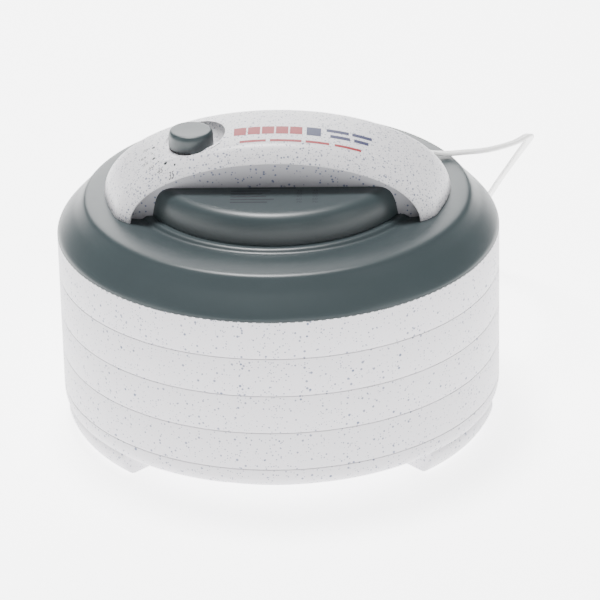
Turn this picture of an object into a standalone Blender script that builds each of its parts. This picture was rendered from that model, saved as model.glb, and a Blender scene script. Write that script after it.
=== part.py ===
"""Round stacking food dehydrator with a powered lid, modelled sub-part by sub-part.

Metres, +Z up. The origin is the centre of the footprint on the floor and the front faces -Y.
"""

import math

import bmesh
import bpy
from mathutils import Matrix, Vector

# ---------------------------------------------------------------- driving sizes
BODY_RADIUS = 0.1715        # outside of the base, the trays and the lid's skirt
WALL = 0.0025               # wall of the base and the trays
BASE_HEIGHT = 0.0334        # floor to the first tray's seam
TRAY_COUNT = 4
TRAY_PITCH = 0.0312         # what each tray adds to the stack
HEAD_RISE = 0.0286          # tray rim to the lid's flat shoulder
SEGMENTS = 36               # sides of the large turned pieces
SMALL_SEGMENTS = 12         # sides of the small turned pieces
SCREW_SEGMENTS = 8          # sides of the screws, their bosses and their holes

GAP = 0.0003                # between pieces that touch
FIT = 0.0005                # between a spigot and the rim it sits in
SCREW_CLEARANCE = 0.0004    # screw shank to its hole

SPIGOT_DEPTH = 0.0040
SPIGOT_WALL = 0.0020
FLOOR_RISE = 0.0080         # tray seam to the underside of its floor
FLOOR_THICKNESS = 0.0020
CORE_RADIUS = 0.0400        # the hole down the middle of the trays
FLOOR_SLOTS = 6
DUCT_SLOTS = 6
DUCT_WIDTH = 0.0130

SKIRT_HEIGHT = 0.0170       # floor to the base's lower edge
FOOT_ANGLE = 61.0           # degrees from the front or back line to a foot's middle
FOOT_WIDTH = 34.0           # degrees
NOTCH_WIDTH = 0.0750
NOTCH_DEPTH = 0.0030

COVER_RADIUS = 0.1060       # motor cover, at its foot
COVER_HEIGHT = 0.0232
COVER_WALL = 0.0025
RING_WIDTH = 0.0075         # the lid's step around the cover
RING_RISE = 0.0020
LID_WALL = 0.0030

HANDLE_HALF_SPAN = 0.1340
HANDLE_RISE = 0.0650
HANDLE_FRONT = -0.0600
HANDLE_BACK = 0.0120
HANDLE_WALL = 0.0030
HANDLE_DEPTH_OF_LIP = 0.0160
HANDLE_FOOT = 0.0240
ARCH_STEPS = 20             # straight stretches round each arch
PANEL_THICKNESS = 0.0022
PANEL_SETBACK = 0.0100

KNOB_X = -0.0640
KNOB_Y = -0.0250
KNOB_RADIUS = 0.0172
KNOB_HEIGHT = 0.0128
DISH_RADIUS = 0.0260
DISH_WALL = 0.0025
DISH_SEGMENTS = 20
DISH_FLOOR_THICKNESS = 0.0030

MOTOR_SHAFT_RADIUS = 0.0025
ROTOR_RADIUS = 0.0150
FAN_RADIUS = 0.0680
FAN_BLADES = 8
HEATER_RADIUS = 0.0880
HEATER_BENDS = 37
SCREW_RADIUS = 0.0016
SCREW_HEAD_RADIUS = 0.0034
SCREW_HEAD_HEIGHT = 0.0020

CORD_RADIUS = 0.0018        # the flat lead's tube
CORD_WIDTH = 0.0064         # its broad side, which sets the coil's spacing
COIL_RADIUS = 0.0360
COIL_CENTRE = (0.0600, 0.2500)
COIL_LIFT = 0.0015          # room for the tie under the coil

# ---------------------------------------------------------------- heights that follow
STACK_TOP = BASE_HEIGHT + TRAY_COUNT * TRAY_PITCH
RIM_INNER = BODY_RADIUS - WALL
SPIGOT_RADIUS = RIM_INNER - FIT
SPIGOT_INNER = SPIGOT_RADIUS - SPIGOT_WALL
SHOULDER = STACK_TOP + HEAD_RISE
RING_TOP = SHOULDER + RING_RISE
COVER_TOP = RING_TOP + COVER_HEIGHT
RING_INNER = COVER_RADIUS - RING_WIDTH
LID_BOTTOM = STACK_TOP + GAP
LID_INSIDE = SHOULDER - 0.0042
DECK_TOP = LID_INSIDE - GAP
DECK_THICKNESS = 0.0021
DECK_RADIUS = COVER_RADIUS + 0.0020
HOUSING_THICKNESS = 0.0020
HOUSING_TOP = LID_BOTTOM + HOUSING_THICKNESS
HANDLE_TOP = SHOULDER + HANDLE_RISE - 0.0008
ARCH_BASE = SHOULDER - 0.0008
INNER_HALF_SPAN = HANDLE_HALF_SPAN - HANDLE_FOOT
INNER_RISE = HANDLE_RISE - HANDLE_DEPTH_OF_LIP
PANEL_Y = HANDLE_FRONT + PANEL_SETBACK
REAR_PANEL_Y = HANDLE_BACK - PANEL_SETBACK
DISH_FLOOR = HANDLE_TOP - 0.0162
KNOB_BOTTOM = DISH_FLOOR + 0.0017
KNOB_TOP = KNOB_BOTTOM + KNOB_HEIGHT
CORE_RIM = 0.0080           # solid rim round the tray floor's middle hole

FINISHES = {                # colour, roughness, metallic
    "speckled": ((0.66, 0.65, 0.67), 0.42, 0.0),
    "slate": ((0.060, 0.085, 0.090), 0.38, 0.0),
    "cord": ((0.75, 0.74, 0.72), 0.50, 0.0),
    "steel": ((0.45, 0.46, 0.47), 0.35, 1.0),
    "laminations": ((0.20, 0.20, 0.21), 0.50, 1.0),
    "copper": ((0.62, 0.26, 0.12), 0.40, 1.0),
    "brass": ((0.62, 0.44, 0.16), 0.35, 1.0),
    "nichrome": ((0.30, 0.28, 0.27), 0.45, 1.0),
    "mica": ((0.50, 0.42, 0.30), 0.55, 0.0),
    "phenolic": ((0.020, 0.018, 0.016), 0.45, 0.0),
    "nylon": ((0.70, 0.68, 0.62), 0.45, 0.0),
    "lead": ((0.55, 0.03, 0.03), 0.50, 0.0),
}


# ---------------------------------------------------------------- tools
def clear_scene():
    for item in list(bpy.data.objects):
        bpy.data.objects.remove(item, do_unlink=True)


def new_collection(name):
    collection = bpy.data.collections.new(name)
    bpy.context.scene.collection.children.link(collection)
    return collection


clear_scene()
PARTS = new_collection("food_dehydrator")
CUTTERS = new_collection("cutters")


def finish(item, finish_name):
    """Give a piece its own material."""
    colour, roughness, metallic = FINISHES[finish_name]
    material = bpy.data.materials.new(item.name)
    material.use_nodes = True
    shader = material.node_tree.nodes["Principled BSDF"]
    shader.inputs["Base Color"].default_value = (*colour, 1.0)
    shader.inputs["Roughness"].default_value = roughness
    shader.inputs["Metallic"].default_value = metallic
    item.data.materials.append(material)
    return item


def as_cutter(item):
    """Move a helper shape to the cutters, out of the render."""
    for collection in list(item.users_collection):
        collection.objects.unlink(item)
    CUTTERS.objects.link(item)
    item.hide_render = True
    item.display_type = "WIRE"
    return item


def turned(name, profile, segments=SEGMENTS, ring=False, centre=(0.0, 0.0)):
    """Turn (radius, height) points about the vertical through centre; a ring's profile closes."""
    count = len(profile)
    edges = [(i, i + 1) for i in range(count - 1)]
    if ring:
        edges.append((count - 1, 0))
    mesh = bpy.data.meshes.new(name)
    mesh.from_pydata([(radius, 0.0, height) for radius, height in profile], edges, [])
    item = bpy.data.objects.new(name, mesh)
    item.location = (centre[0], centre[1], 0.0)
    PARTS.objects.link(item)
    screw = item.modifiers.new("Turn", "SCREW")
    screw.steps = segments
    screw.render_steps = segments
    screw.use_merge_vertices = True
    screw.merge_threshold = 0.00001
    screw.use_smooth_shade = False
    return item


def from_bmesh(name, shape):
    mesh = bpy.data.meshes.new(name)
    shape.to_mesh(mesh)
    shape.free()
    item = bpy.data.objects.new(name, mesh)
    PARTS.objects.link(item)
    return item


def block(name, low, high):
    """A box between two corners."""
    shape = bmesh.new()
    size = [b - a for a, b in zip(low, high)]
    middle = [(a + b) / 2.0 for a, b in zip(low, high)]
    place = Matrix.Translation(middle) @ Matrix.Diagonal((*size, 1.0))
    bmesh.ops.create_cube(shape, size=1.0, matrix=place)
    return from_bmesh(name, shape)


def rods(name, places, radius, low, high, segments=SCREW_SEGMENTS):
    """Upright cylinders of one radius at several (x, y) places, in one mesh."""
    shape = bmesh.new()
    for x, y in places:
        place = Matrix.Translation((x, y, (low + high) / 2.0))
        bmesh.ops.create_cone(shape, cap_ends=True, segments=segments, radius1=radius,
                              radius2=radius, depth=high - low, matrix=place)
    return from_bmesh(name, shape)


def sectors(name, middles, half_width, inner, outer, low, high):
    """Wedge blocks between two radii, one about each middle angle, in degrees."""
    shape = bmesh.new()
    for middle in middles:
        corners = bmesh.ops.create_cube(shape, size=1.0)["verts"]
        for corner in corners:
            radius = outer if corner.co.x > 0 else inner
            angle = math.radians(middle + (half_width if corner.co.y > 0 else -half_width))
            height = high if corner.co.z > 0 else low
            corner.co = (radius * math.cos(angle), radius * math.sin(angle), height)
    return from_bmesh(name, shape)


def evenly(count, first=0.0):
    return [first + 360.0 * i / count for i in range(count)]


def meshed(curve):
    """Turn a curve object into a mesh object with its caps welded on."""
    bpy.context.view_layer.update()
    evaluated = curve.evaluated_get(bpy.context.evaluated_depsgraph_get())
    mesh = bpy.data.meshes.new_from_object(evaluated)
    shape = bmesh.new()
    shape.from_mesh(mesh)
    bmesh.ops.remove_doubles(shape, verts=shape.verts, dist=0.00001)
    shape.to_mesh(mesh)
    shape.free()
    name, place = curve.name, curve.matrix_world.copy()
    bpy.data.objects.remove(curve, do_unlink=True)
    item = bpy.data.objects.new(name, mesh)
    item.matrix_world = place
    PARTS.objects.link(item)
    return item


def plate(name, outlines, front, back):
    """Flat outlines in X and Z, as thick as the way from front to back along Y."""
    curve = bpy.data.curves.new(name, "CURVE")
    curve.dimensions = "2D"
    curve.fill_mode = "BOTH"
    curve.extrude = (back - front) / 2.0
    for outline in outlines:
        spline = curve.splines.new("POLY")
        spline.points.add(len(outline) - 1)
        for point, (x, z) in zip(spline.points, outline):
            point.co = (x, z, 0.0, 1.0)
        spline.use_cyclic_u = True
    item = bpy.data.objects.new(name, curve)
    item.location = (0.0, (front + back) / 2.0, 0.0)
    item.rotation_euler = (math.radians(90.0), 0.0, 0.0)
    PARTS.objects.link(item)
    return meshed(item)


def tube(name, points, radius, resolution=2):
    """A round wire with filled ends through the points."""
    curve = bpy.data.curves.new(name, "CURVE")
    curve.dimensions = "3D"
    curve.bevel_depth = radius
    curve.bevel_resolution = resolution
    curve.use_fill_caps = True
    spline = curve.splines.new("POLY")
    spline.points.add(len(points) - 1)
    for point, place in zip(spline.points, points):
        point.co = (*place, 1.0)
    item = bpy.data.objects.new(name, curve)
    PARTS.objects.link(item)
    return item


def smooth_route(points, spacing):
    """Points at about one spacing along a Catmull-Rom curve through the given ones."""
    ends = [points[0] * 2 - points[1]] + points + [points[-1] * 2 - points[-2]]
    fine = []
    for i in range(1, len(ends) - 2):
        before, start, stop, after = ends[i - 1:i + 3]
        for step in range(20):
            t = step / 20.0
            fine.append(0.5 * (2 * start + (stop - before) * t
                               + (2 * before - 5 * start + 4 * stop - after) * t ** 2
                               + (3 * start - before - 3 * stop + after) * t ** 3))
    fine.append(points[-1])
    lengths = [0.0]
    for a, b in zip(fine, fine[1:]):
        lengths.append(lengths[-1] + (b - a).length)
    count = max(2, round(lengths[-1] / spacing))
    route, at = [], 0
    for step in range(count + 1):
        want = lengths[-1] * step / count
        while at < len(fine) - 2 and lengths[at + 1] < want:
            at += 1
        share = (want - lengths[at]) / (lengths[at + 1] - lengths[at])
        route.append(fine[at].lerp(fine[at + 1], min(1.0, share)))
    return route


def boolean(item, tool, operation="DIFFERENCE"):
    step = item.modifiers.new(tool.name, "BOOLEAN")
    step.operation = operation
    step.object = as_cutter(tool)
    return item


def cut(item, *tools):
    for tool in tools:
        boolean(item, tool)
    return item


def join(item, *tools):
    for tool in tools:
        boolean(item, tool, "UNION")
    return item


def screw(name, x, y, head_low, tip):
    """A pan-head screw driven from below, head at head_low."""
    neck = head_low + SCREW_HEAD_HEIGHT
    profile = [(0.0, tip), (SCREW_RADIUS, tip - 0.0015), (SCREW_RADIUS, neck), (SCREW_HEAD_RADIUS, neck),
               (SCREW_HEAD_RADIUS, head_low), (0.0, head_low)]
    return finish(turned(name, profile, SCREW_SEGMENTS, centre=(x, y)), "steel")


def hexagon(name, x, y, radius, hole, low, high):
    """A six-sided nut with a round hole."""
    nut = turned(name, [(0.0, high), (radius, high), (radius, low), (0.0, low)], 6, centre=(x, y))
    return cut(nut, rods(name + "_hole", [(x, y)], hole, low - 0.001, high + 0.001, SMALL_SEGMENTS))


# ---------------------------------------------------------------- base and trays
def base_pan():
    """Shallow pan under the trays, with a curved-in skirt, a stiffening rib and four feet."""
    floor_low = SKIRT_HEIGHT + 0.0030
    floor_top = floor_low + WALL
    rib = BODY_RADIUS - 0.0210
    profile = [
        (0.0, floor_top), (RIM_INNER, floor_top), (RIM_INNER, BASE_HEIGHT),
        (BODY_RADIUS, BASE_HEIGHT), (BODY_RADIUS, BASE_HEIGHT - 0.0064),
        (BODY_RADIUS - 0.0012, SKIRT_HEIGHT + 0.0050), (BODY_RADIUS - 0.0040, SKIRT_HEIGHT + 0.0015),
        (BODY_RADIUS - 0.0075, SKIRT_HEIGHT), (BODY_RADIUS - 0.0105, SKIRT_HEIGHT),
        (BODY_RADIUS - 0.0105, floor_low), (rib, floor_low), (rib, SKIRT_HEIGHT - 0.0080),
        (rib - 0.0020, SKIRT_HEIGHT - 0.0080), (rib - 0.0020, floor_low), (0.0, floor_low),
    ]
    pan = turned("base_pan", profile)
    foot_profile = [
        (BODY_RADIUS - 0.0300, floor_low + 0.0010), (BODY_RADIUS - 0.0022, floor_low + 0.0010),
        (BODY_RADIUS - 0.0015, SKIRT_HEIGHT + 0.0028), (BODY_RADIUS - 0.0030, 0.0110),
        (BODY_RADIUS - 0.0065, 0.0040), (BODY_RADIUS - 0.0115, 0.0),
        (BODY_RADIUS - 0.0300, 0.0), (BODY_RADIUS - 0.0315, 0.0015),
    ]
    feet = turned("foot_ring", foot_profile, ring=True)
    half_front = FOOT_ANGLE - FOOT_WIDTH / 2.0
    half_side = 90.0 - FOOT_ANGLE - FOOT_WIDTH / 2.0
    height = floor_low + 0.0100
    between = sectors("between_feet_front", [-90.0, 90.0], half_front, 0.010,
                      2.2 * BODY_RADIUS, -0.0050, height)
    beside = sectors("between_feet_side", [0.0, 180.0], half_side, 0.010,
                     2.2 * BODY_RADIUS, -0.0050, height)
    join(pan, cut(feet, between, beside))
    notch = block("front_notch", (-NOTCH_WIDTH / 2.0, -BODY_RADIUS - 0.010, SKIRT_HEIGHT - 0.010),
                  (NOTCH_WIDTH / 2.0, -BODY_RADIUS + 0.016, SKIRT_HEIGHT + NOTCH_DEPTH - GAP))
    cut(pan, notch)
    return finish(pan, "speckled")


def tray_wall(name, seam):
    """Drying tray's rim: a wall with a spigot below and a ledge inside that holds the floor."""
    top = seam + TRAY_PITCH
    ledge = seam + FLOOR_RISE - GAP
    profile = [
        (BODY_RADIUS, top), (BODY_RADIUS, seam + GAP), (SPIGOT_RADIUS, seam + GAP),
        (SPIGOT_RADIUS, seam - SPIGOT_DEPTH), (SPIGOT_INNER, seam - SPIGOT_DEPTH),
        (SPIGOT_INNER, ledge), (RIM_INNER, ledge), (RIM_INNER, top),
    ]
    return finish(turned(name, profile, ring=True), "speckled")


def tray_floor(name, seam):
    """Drying tray's slotted floor, with ducts round its edge and the core's hole in the middle."""
    low = seam + FLOOR_RISE
    high = low + FLOOR_THICKNESS
    edge = RIM_INNER - GAP
    item = turned(name, [(edge, high), (edge, low), (CORE_RADIUS, low), (CORE_RADIUS, high)], ring=True)
    duct_outer = SPIGOT_INNER - 0.0020
    duct_inner = duct_outer - DUCT_WIDTH
    ducts = sectors(name + "_ducts", evenly(DUCT_SLOTS), 180.0 / DUCT_SLOTS - 2.0, duct_inner,
                    duct_outer, low - 0.005, high + 0.005)
    slots = sectors(name + "_slots", evenly(FLOOR_SLOTS), 180.0 / FLOOR_SLOTS - 2.2,
                    CORE_RADIUS + CORE_RIM, duct_inner - 0.0050, low - 0.005, high + 0.005)
    cut(item, ducts, slots)
    return finish(item, "speckled")


# ---------------------------------------------------------------- lid, cover and handle
CROWN = [                   # out from the ring to the skirt, and down from the shoulder
    (0.0012, -0.0008), (0.0175, 0.0), (0.0310, -0.0010), (0.0425, -0.0052), (0.0522, -0.0140),
]
RING_OUTER = COVER_RADIUS + RING_WIDTH
CROWN_START = RING_OUTER
CROWN_SHARE = (BODY_RADIUS - RING_OUTER) / 0.0580


def crown_points(inset=0.0, drop=0.0):
    """The lid's upper surface from the ring out, set in and down by a wall."""
    return [(CROWN_START + out * CROWN_SHARE - inset * max(0.0, -down) / 0.0140, SHOULDER + down - drop)
            for out, down in CROWN]


def boss_places():
    radius = BODY_RADIUS - 0.0225
    return [(radius * math.cos(math.radians(a)), radius * math.sin(math.radians(a)))
            for a in evenly(4, 45.0)]


def deck_screw_places():
    radius = (RING_INNER + DECK_RADIUS) / 2.0 + 0.0010
    return [(radius * math.cos(math.radians(a)), radius * math.sin(math.radians(a)))
            for a in evenly(4, 20.0)]


def handle_screw_places():
    x = HANDLE_HALF_SPAN - 0.0135
    return [(side * x, (HANDLE_FRONT + HANDLE_BACK) / 2.0) for side in (-1.0, 1.0)]


def lid_shell():
    """Powered lid: domed shell with a raised ring round the motor opening and a spigot."""
    outer = [(RING_INNER, RING_TOP), (COVER_RADIUS + 0.0010, RING_TOP),
             (RING_OUTER - 0.0012, RING_TOP - 0.0016)]
    outer += crown_points()
    outer += [(BODY_RADIUS, SHOULDER - 0.0255), (BODY_RADIUS, LID_BOTTOM), (SPIGOT_RADIUS, LID_BOTTOM),
              (SPIGOT_RADIUS, STACK_TOP - SPIGOT_DEPTH), (SPIGOT_INNER, STACK_TOP - SPIGOT_DEPTH),
              (SPIGOT_INNER, SHOULDER - 0.0255)]
    inner = crown_points(inset=LID_WALL * 1.4, drop=LID_WALL)
    profile = outer + inner[:1:-1] + [(RING_OUTER, LID_INSIDE), (RING_INNER, LID_INSIDE)]
    shell = turned("lid_shell", profile, ring=True)
    join(shell, rods("lid_bosses", boss_places(), 0.0042, HOUSING_TOP + GAP, SHOULDER - 0.0040))
    bore = SCREW_RADIUS + SCREW_CLEARANCE
    cut(shell,
        rods("boss_bores", boss_places(), bore, LID_BOTTOM - 0.001, SHOULDER - 0.0110),
        rods("ring_bores", deck_screw_places(), bore, LID_INSIDE - 0.002, RING_TOP - 0.0015),
        rods("handle_bores", handle_screw_places(), bore, LID_INSIDE - 0.005, SHOULDER + 0.005))
    return finish(shell, "slate")


def cover_outline(grow=0.0):
    """The motor cover's outer profile from its middle down to its foot."""
    radius = COVER_RADIUS + grow
    top = COVER_TOP + grow
    return [(0.0, top), (radius - 0.0190, top), (radius - 0.0120, top - 0.0019),
            (radius - 0.0060, top - 0.0068), (radius - 0.0026, top - 0.0148)]


def motor_cover():
    """Low drum over the motor, with air-intake slots at the back."""
    outer = cover_outline() + [(COVER_RADIUS, RING_TOP + GAP)]
    inner = [(COVER_RADIUS - COVER_WALL, RING_TOP + GAP)] + cover_outline(-COVER_WALL)[:0:-1]
    profile = outer + inner + [(0.0, COVER_TOP - COVER_WALL)]
    cover = turned("motor_cover", profile)
    slots = sectors("intake_slots", [90.0 + 7.0 * i for i in range(-3, 4)], 1.6,
                    COVER_RADIUS - 0.0200, COVER_RADIUS + 0.0100, RING_TOP + 0.0040, COVER_TOP - 0.0075)
    holes = rods("cover_wire_holes", [(0.0600, -0.0160), (-0.0350, -0.0300)], 0.0034,
                 COVER_TOP - 0.0060, COVER_TOP + 0.0060)
    cut(cover, slots, holes)
    return finish(cover, "slate")


def head_clearance(name):
    """The outside of the lid and the cover, one gap larger, to trim what stands on them."""
    profile = cover_outline(GAP) + [(COVER_RADIUS + GAP, RING_TOP + GAP),
                                    (COVER_RADIUS + 0.0010 + GAP, RING_TOP + GAP),
                                    (RING_OUTER - 0.0012 + GAP, RING_TOP - 0.0016 + GAP)]
    profile += [(radius + GAP, height + GAP) for radius, height in crown_points()]
    profile += [(BODY_RADIUS + GAP, SHOULDER - 0.0255), (BODY_RADIUS + GAP, STACK_TOP), (0.0, STACK_TOP)]
    return turned(name, profile)


def arch(half_span, rise, base, steps, reverse=False):
    """Half an ellipse from its left foot to its right, in X and Z."""
    points = [(-half_span * math.cos(math.pi * i / steps), base + rise * math.sin(math.pi * i / steps))
              for i in range(steps + 1)]
    return points[::-1] if reverse else points


def handle_shell():
    """Arched handle housing, open below, with the knob's dish and four screw bosses."""
    foot = ARCH_BASE - 0.0080
    outline = ([(-HANDLE_HALF_SPAN, foot)] + arch(HANDLE_HALF_SPAN, HANDLE_RISE, ARCH_BASE, ARCH_STEPS)
               + [(HANDLE_HALF_SPAN, foot), (INNER_HALF_SPAN, foot)]
               + arch(INNER_HALF_SPAN, INNER_RISE, ARCH_BASE, ARCH_STEPS, reverse=True)
               + [(-INNER_HALF_SPAN, foot)])
    shell = plate("handle_shell", [outline], HANDLE_FRONT, HANDLE_BACK)
    edge = shell.modifiers.new("Rounded edges", "BEVEL")
    edge.width = 0.0025
    edge.segments = 1
    edge.limit_method = "ANGLE"
    edge.angle_limit = math.radians(60.0)
    hollow_outline = ([(-HANDLE_HALF_SPAN + HANDLE_WALL, foot - 0.002)]
                      + arch(HANDLE_HALF_SPAN - HANDLE_WALL, HANDLE_RISE - HANDLE_WALL, ARCH_BASE, ARCH_STEPS)
                      + [(HANDLE_HALF_SPAN - HANDLE_WALL, foot - 0.002)])
    hollow = plate("handle_hollow", [hollow_outline], HANDLE_FRONT + HANDLE_WALL, HANDLE_BACK - HANDLE_WALL)
    cup = rods("dish_cup", [(KNOB_X, KNOB_Y)], DISH_RADIUS + DISH_WALL, DISH_FLOOR - DISH_FLOOR_THICKNESS,
               HANDLE_TOP + 0.010, DISH_SEGMENTS)
    bosses = rods("handle_bosses", handle_screw_places(), 0.0045, foot - 0.003, HANDLE_TOP)
    cut(hollow, cup, bosses)
    dish = rods("dish", [(KNOB_X, KNOB_Y)], DISH_RADIUS, DISH_FLOOR, HANDLE_TOP + 0.010, DISH_SEGMENTS)
    neck = rods("dish_hole", [(KNOB_X, KNOB_Y)], 0.0046, DISH_FLOOR - 0.006, DISH_FLOOR + 0.001,
                SMALL_SEGMENTS)
    bores = rods("handle_shell_bores", handle_screw_places(), SCREW_RADIUS + SCREW_CLEARANCE,
                 foot - 0.003, SHOULDER + 0.0165)
    cut(shell, hollow, dish, neck, bores, gland_hole(), head_clearance("handle_trim"))
    return finish(shell, "speckled")


def handle_panel(name, front):
    """Flat wall that closes the handle's arch just inside its lip."""
    tuck = 0.0060
    outline = ([(-INNER_HALF_SPAN - tuck, ARCH_BASE - 0.004)]
               + arch(INNER_HALF_SPAN + tuck, INNER_RISE + tuck, ARCH_BASE, ARCH_STEPS)
               + [(INNER_HALF_SPAN + tuck, ARCH_BASE - 0.004)])
    panel = plate(name, [outline], front, front + PANEL_THICKNESS)
    cup_room = rods(name + "_cup_room", [(KNOB_X, KNOB_Y)], DISH_RADIUS + DISH_WALL + GAP,
                    DISH_FLOOR - DISH_FLOOR_THICKNESS - GAP, HANDLE_TOP + 0.010, DISH_SEGMENTS)
    cut(panel, head_clearance(name + "_trim"), cup_room)
    return finish(panel, "speckled")


# ---------------------------------------------------------------- thermostat and knob
def thermostat_knob():
    socket = 0.0033
    profile = [(0.0, KNOB_TOP), (KNOB_RADIUS - 0.0022, KNOB_TOP), (KNOB_RADIUS - 0.0006, KNOB_TOP - 0.0010),
               (KNOB_RADIUS, KNOB_TOP - 0.0028), (KNOB_RADIUS, KNOB_BOTTOM),
               (KNOB_RADIUS - 0.0020, KNOB_BOTTOM), (KNOB_RADIUS - 0.0020, KNOB_TOP - 0.0030),
               (0.0055, KNOB_TOP - 0.0030), (0.0055, KNOB_BOTTOM + 0.0035),
               (socket, KNOB_BOTTOM + 0.0035), (socket, KNOB_TOP - 0.0035), (0.0, KNOB_TOP - 0.0035)]
    return finish(turned("thermostat_knob", profile, 24, centre=(KNOB_X, KNOB_Y)), "slate")


def thermostat_shaft():
    top = KNOB_TOP - 0.0035 - GAP
    profile = [(0.0, top), (0.0030, top), (0.0030, DISH_FLOOR - 0.0150), (0.0, DISH_FLOOR - 0.0150)]
    return finish(turned("thermostat_shaft", profile, SMALL_SEGMENTS, centre=(KNOB_X, KNOB_Y)), "steel")


def thermostat_body():
    low = DISH_FLOOR - DISH_FLOOR_THICKNESS - 0.0145
    high = DISH_FLOOR - DISH_FLOOR_THICKNESS - GAP
    neck_top = KNOB_BOTTOM + 0.0022
    profile = [(0.0, neck_top), (0.0041, neck_top), (0.0041, high), (0.0140, high), (0.0150, high - 0.0010),
               (0.0150, low), (0.0, low)]
    body = turned("thermostat_body", profile, SMALL_SEGMENTS, centre=(KNOB_X, KNOB_Y))
    cut(body, rods("shaft_bore", [(KNOB_X, KNOB_Y)], 0.0034, DISH_FLOOR - 0.0154, neck_top + 0.002,
                   SMALL_SEGMENTS))
    return finish(body, "phenolic")


def thermostat_nut():
    nut = hexagon("thermostat_nut", KNOB_X, KNOB_Y, 0.0075, 0.0045, DISH_FLOOR + GAP, DISH_FLOOR + 0.0024)
    return finish(nut, "brass")


def thermostat_bimetal():
    low = DISH_FLOOR - DISH_FLOOR_THICKNESS - 0.0158
    strip = block("thermostat_bimetal", (KNOB_X - 0.0110, KNOB_Y - 0.0030, low),
                  (KNOB_X + 0.0110, KNOB_Y + 0.0030, low + 0.0010))
    return finish(strip, "brass")


# ---------------------------------------------------------------- motor, fan and heater
CORE_LOW = DECK_TOP + 0.0062
CORE_HIGH = CORE_LOW + 0.0140
BRACKET = 0.0015
MOTOR_SCREW_X = 0.0260


def motor_deck():
    """Round plate that closes the lid's opening from below and carries the motor."""
    low = DECK_TOP - DECK_THICKNESS
    deck = turned("motor_deck", [(0.0, DECK_TOP), (DECK_RADIUS, DECK_TOP), (DECK_RADIUS, low), (0.0, low)])
    screws = [(-MOTOR_SCREW_X, 0.0), (MOTOR_SCREW_X, 0.0)]
    join(deck, rods("deck_standoffs", screws, 0.0040, DECK_TOP - 0.001, CORE_LOW - BRACKET - 2 * GAP))
    hole = SCREW_RADIUS + SCREW_CLEARANCE
    cut(deck,
        rods("deck_standoff_bores", screws, hole, low - 0.001, CORE_LOW + 0.001),
        rods("deck_rim_holes", deck_screw_places(), hole, low - 0.001, DECK_TOP + 0.001),
        rods("deck_centre_holes", [(0.0, 0.0), (-0.0400, -0.0450)], 0.0075, low - 0.001, DECK_TOP + 0.001),
        sectors("deck_inlets", evenly(4, 45.0), 24.0, 0.0550, 0.0750, low - 0.001, DECK_TOP + 0.001))
    return finish(deck, "steel")


def stator_core():
    """Laminated core with the rotor's bore and a window for the coil."""
    core = block("stator_core", (-0.0300, -0.0220, CORE_LOW), (0.0300, 0.0400, CORE_HIGH))
    low, high = CORE_LOW - 0.001, CORE_HIGH + 0.001
    bore = rods("rotor_bore", [(0.0, 0.0)], ROTOR_RADIUS + 0.0006, low, high, 20)
    window = block("coil_window", (-0.0180, 0.0220, low), (0.0180, 0.0330, high))
    holes = rods("core_holes", [(-MOTOR_SCREW_X, 0.0), (MOTOR_SCREW_X, 0.0)],
                 SCREW_RADIUS + SCREW_CLEARANCE, low, high)
    cut(core, bore, window, holes)
    return finish(core, "laminations")


def frame_plate(name, half_length, inner, outer):
    """A rectangular ring round the core's leg: inner and outer are (y, z) corner pairs."""
    (y0, z0), (y1, z1) = outer
    body = block(name, (-half_length, y0, z0), (half_length, y1, z1))
    (u0, w0), (u1, w1) = inner
    cut(body, block(name + "_hole", (-half_length - 0.001, u0, w0), (half_length + 0.001, u1, w1)))
    return body


def coil_bobbin():
    inner = ((0.0330 - GAP, CORE_LOW - GAP), (0.0400 + GAP, CORE_HIGH + GAP))
    outer = ((0.0318, CORE_LOW - 0.0014), (0.0412, CORE_HIGH + 0.0014))
    bobbin = frame_plate("coil_bobbin", 0.0170, inner, outer)
    for side in (-1.0, 1.0):
        near, far = sorted((side * 0.0158, side * 0.0169))
        flange = block("bobbin_flange", (near, 0.0240, CORE_LOW - 0.0046), (far, 0.0480, CORE_HIGH + 0.0046))
        cut(flange, block("flange_hole", (near - 0.001, 0.0324, CORE_LOW - 0.0008),
                          (far + 0.001, 0.0406, CORE_HIGH + 0.0008)))
        join(bobbin, flange)
    return finish(bobbin, "nylon")


def stator_coil():
    inner = ((0.0318 - GAP, CORE_LOW - 0.0014 - GAP), (0.0412 + GAP, CORE_HIGH + 0.0014 + GAP))
    outer = ((0.0246, CORE_LOW - 0.0040), (0.0474, CORE_HIGH + 0.0040))
    return finish(frame_plate("stator_coil", 0.0154, inner, outer), "copper")


def bearing_bracket(name, core_face, way):
    """Strap across the core with raised middle; way is -1 below the core and 1 above it."""
    seat = core_face + way * GAP
    step = 0.0018
    outline = [(-0.0300, seat), (-0.0210, seat), (-0.0190, seat + way * step), (0.0190, seat + way * step),
               (0.0210, seat), (0.0300, seat), (0.0300, seat + way * BRACKET), (0.0205, seat + way * BRACKET),
               (0.0185, seat + way * (step + BRACKET)), (-0.0185, seat + way * (step + BRACKET)),
               (-0.0205, seat + way * BRACKET), (-0.0300, seat + way * BRACKET)]
    strap = plate(name, [outline], -0.0090, 0.0090)
    holes = rods(name + "_holes", [(-MOTOR_SCREW_X, 0.0), (MOTOR_SCREW_X, 0.0)],
                 SCREW_RADIUS + SCREW_CLEARANCE, core_face - 0.006, core_face + 0.006)
    seat_hole = rods(name + "_seat", [(0.0, 0.0)], 0.0058, core_face - 0.006, core_face + 0.006,
                     SMALL_SEGMENTS)
    cut(strap, holes, seat_hole)
    return finish(strap, "steel")


def bushing(name, low, high):
    inner = MOTOR_SHAFT_RADIUS + GAP
    profile = [(0.0055, high), (0.0055, low), (inner, low), (inner, high)]
    return finish(turned(name, profile, SMALL_SEGMENTS, ring=True), "brass")


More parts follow.
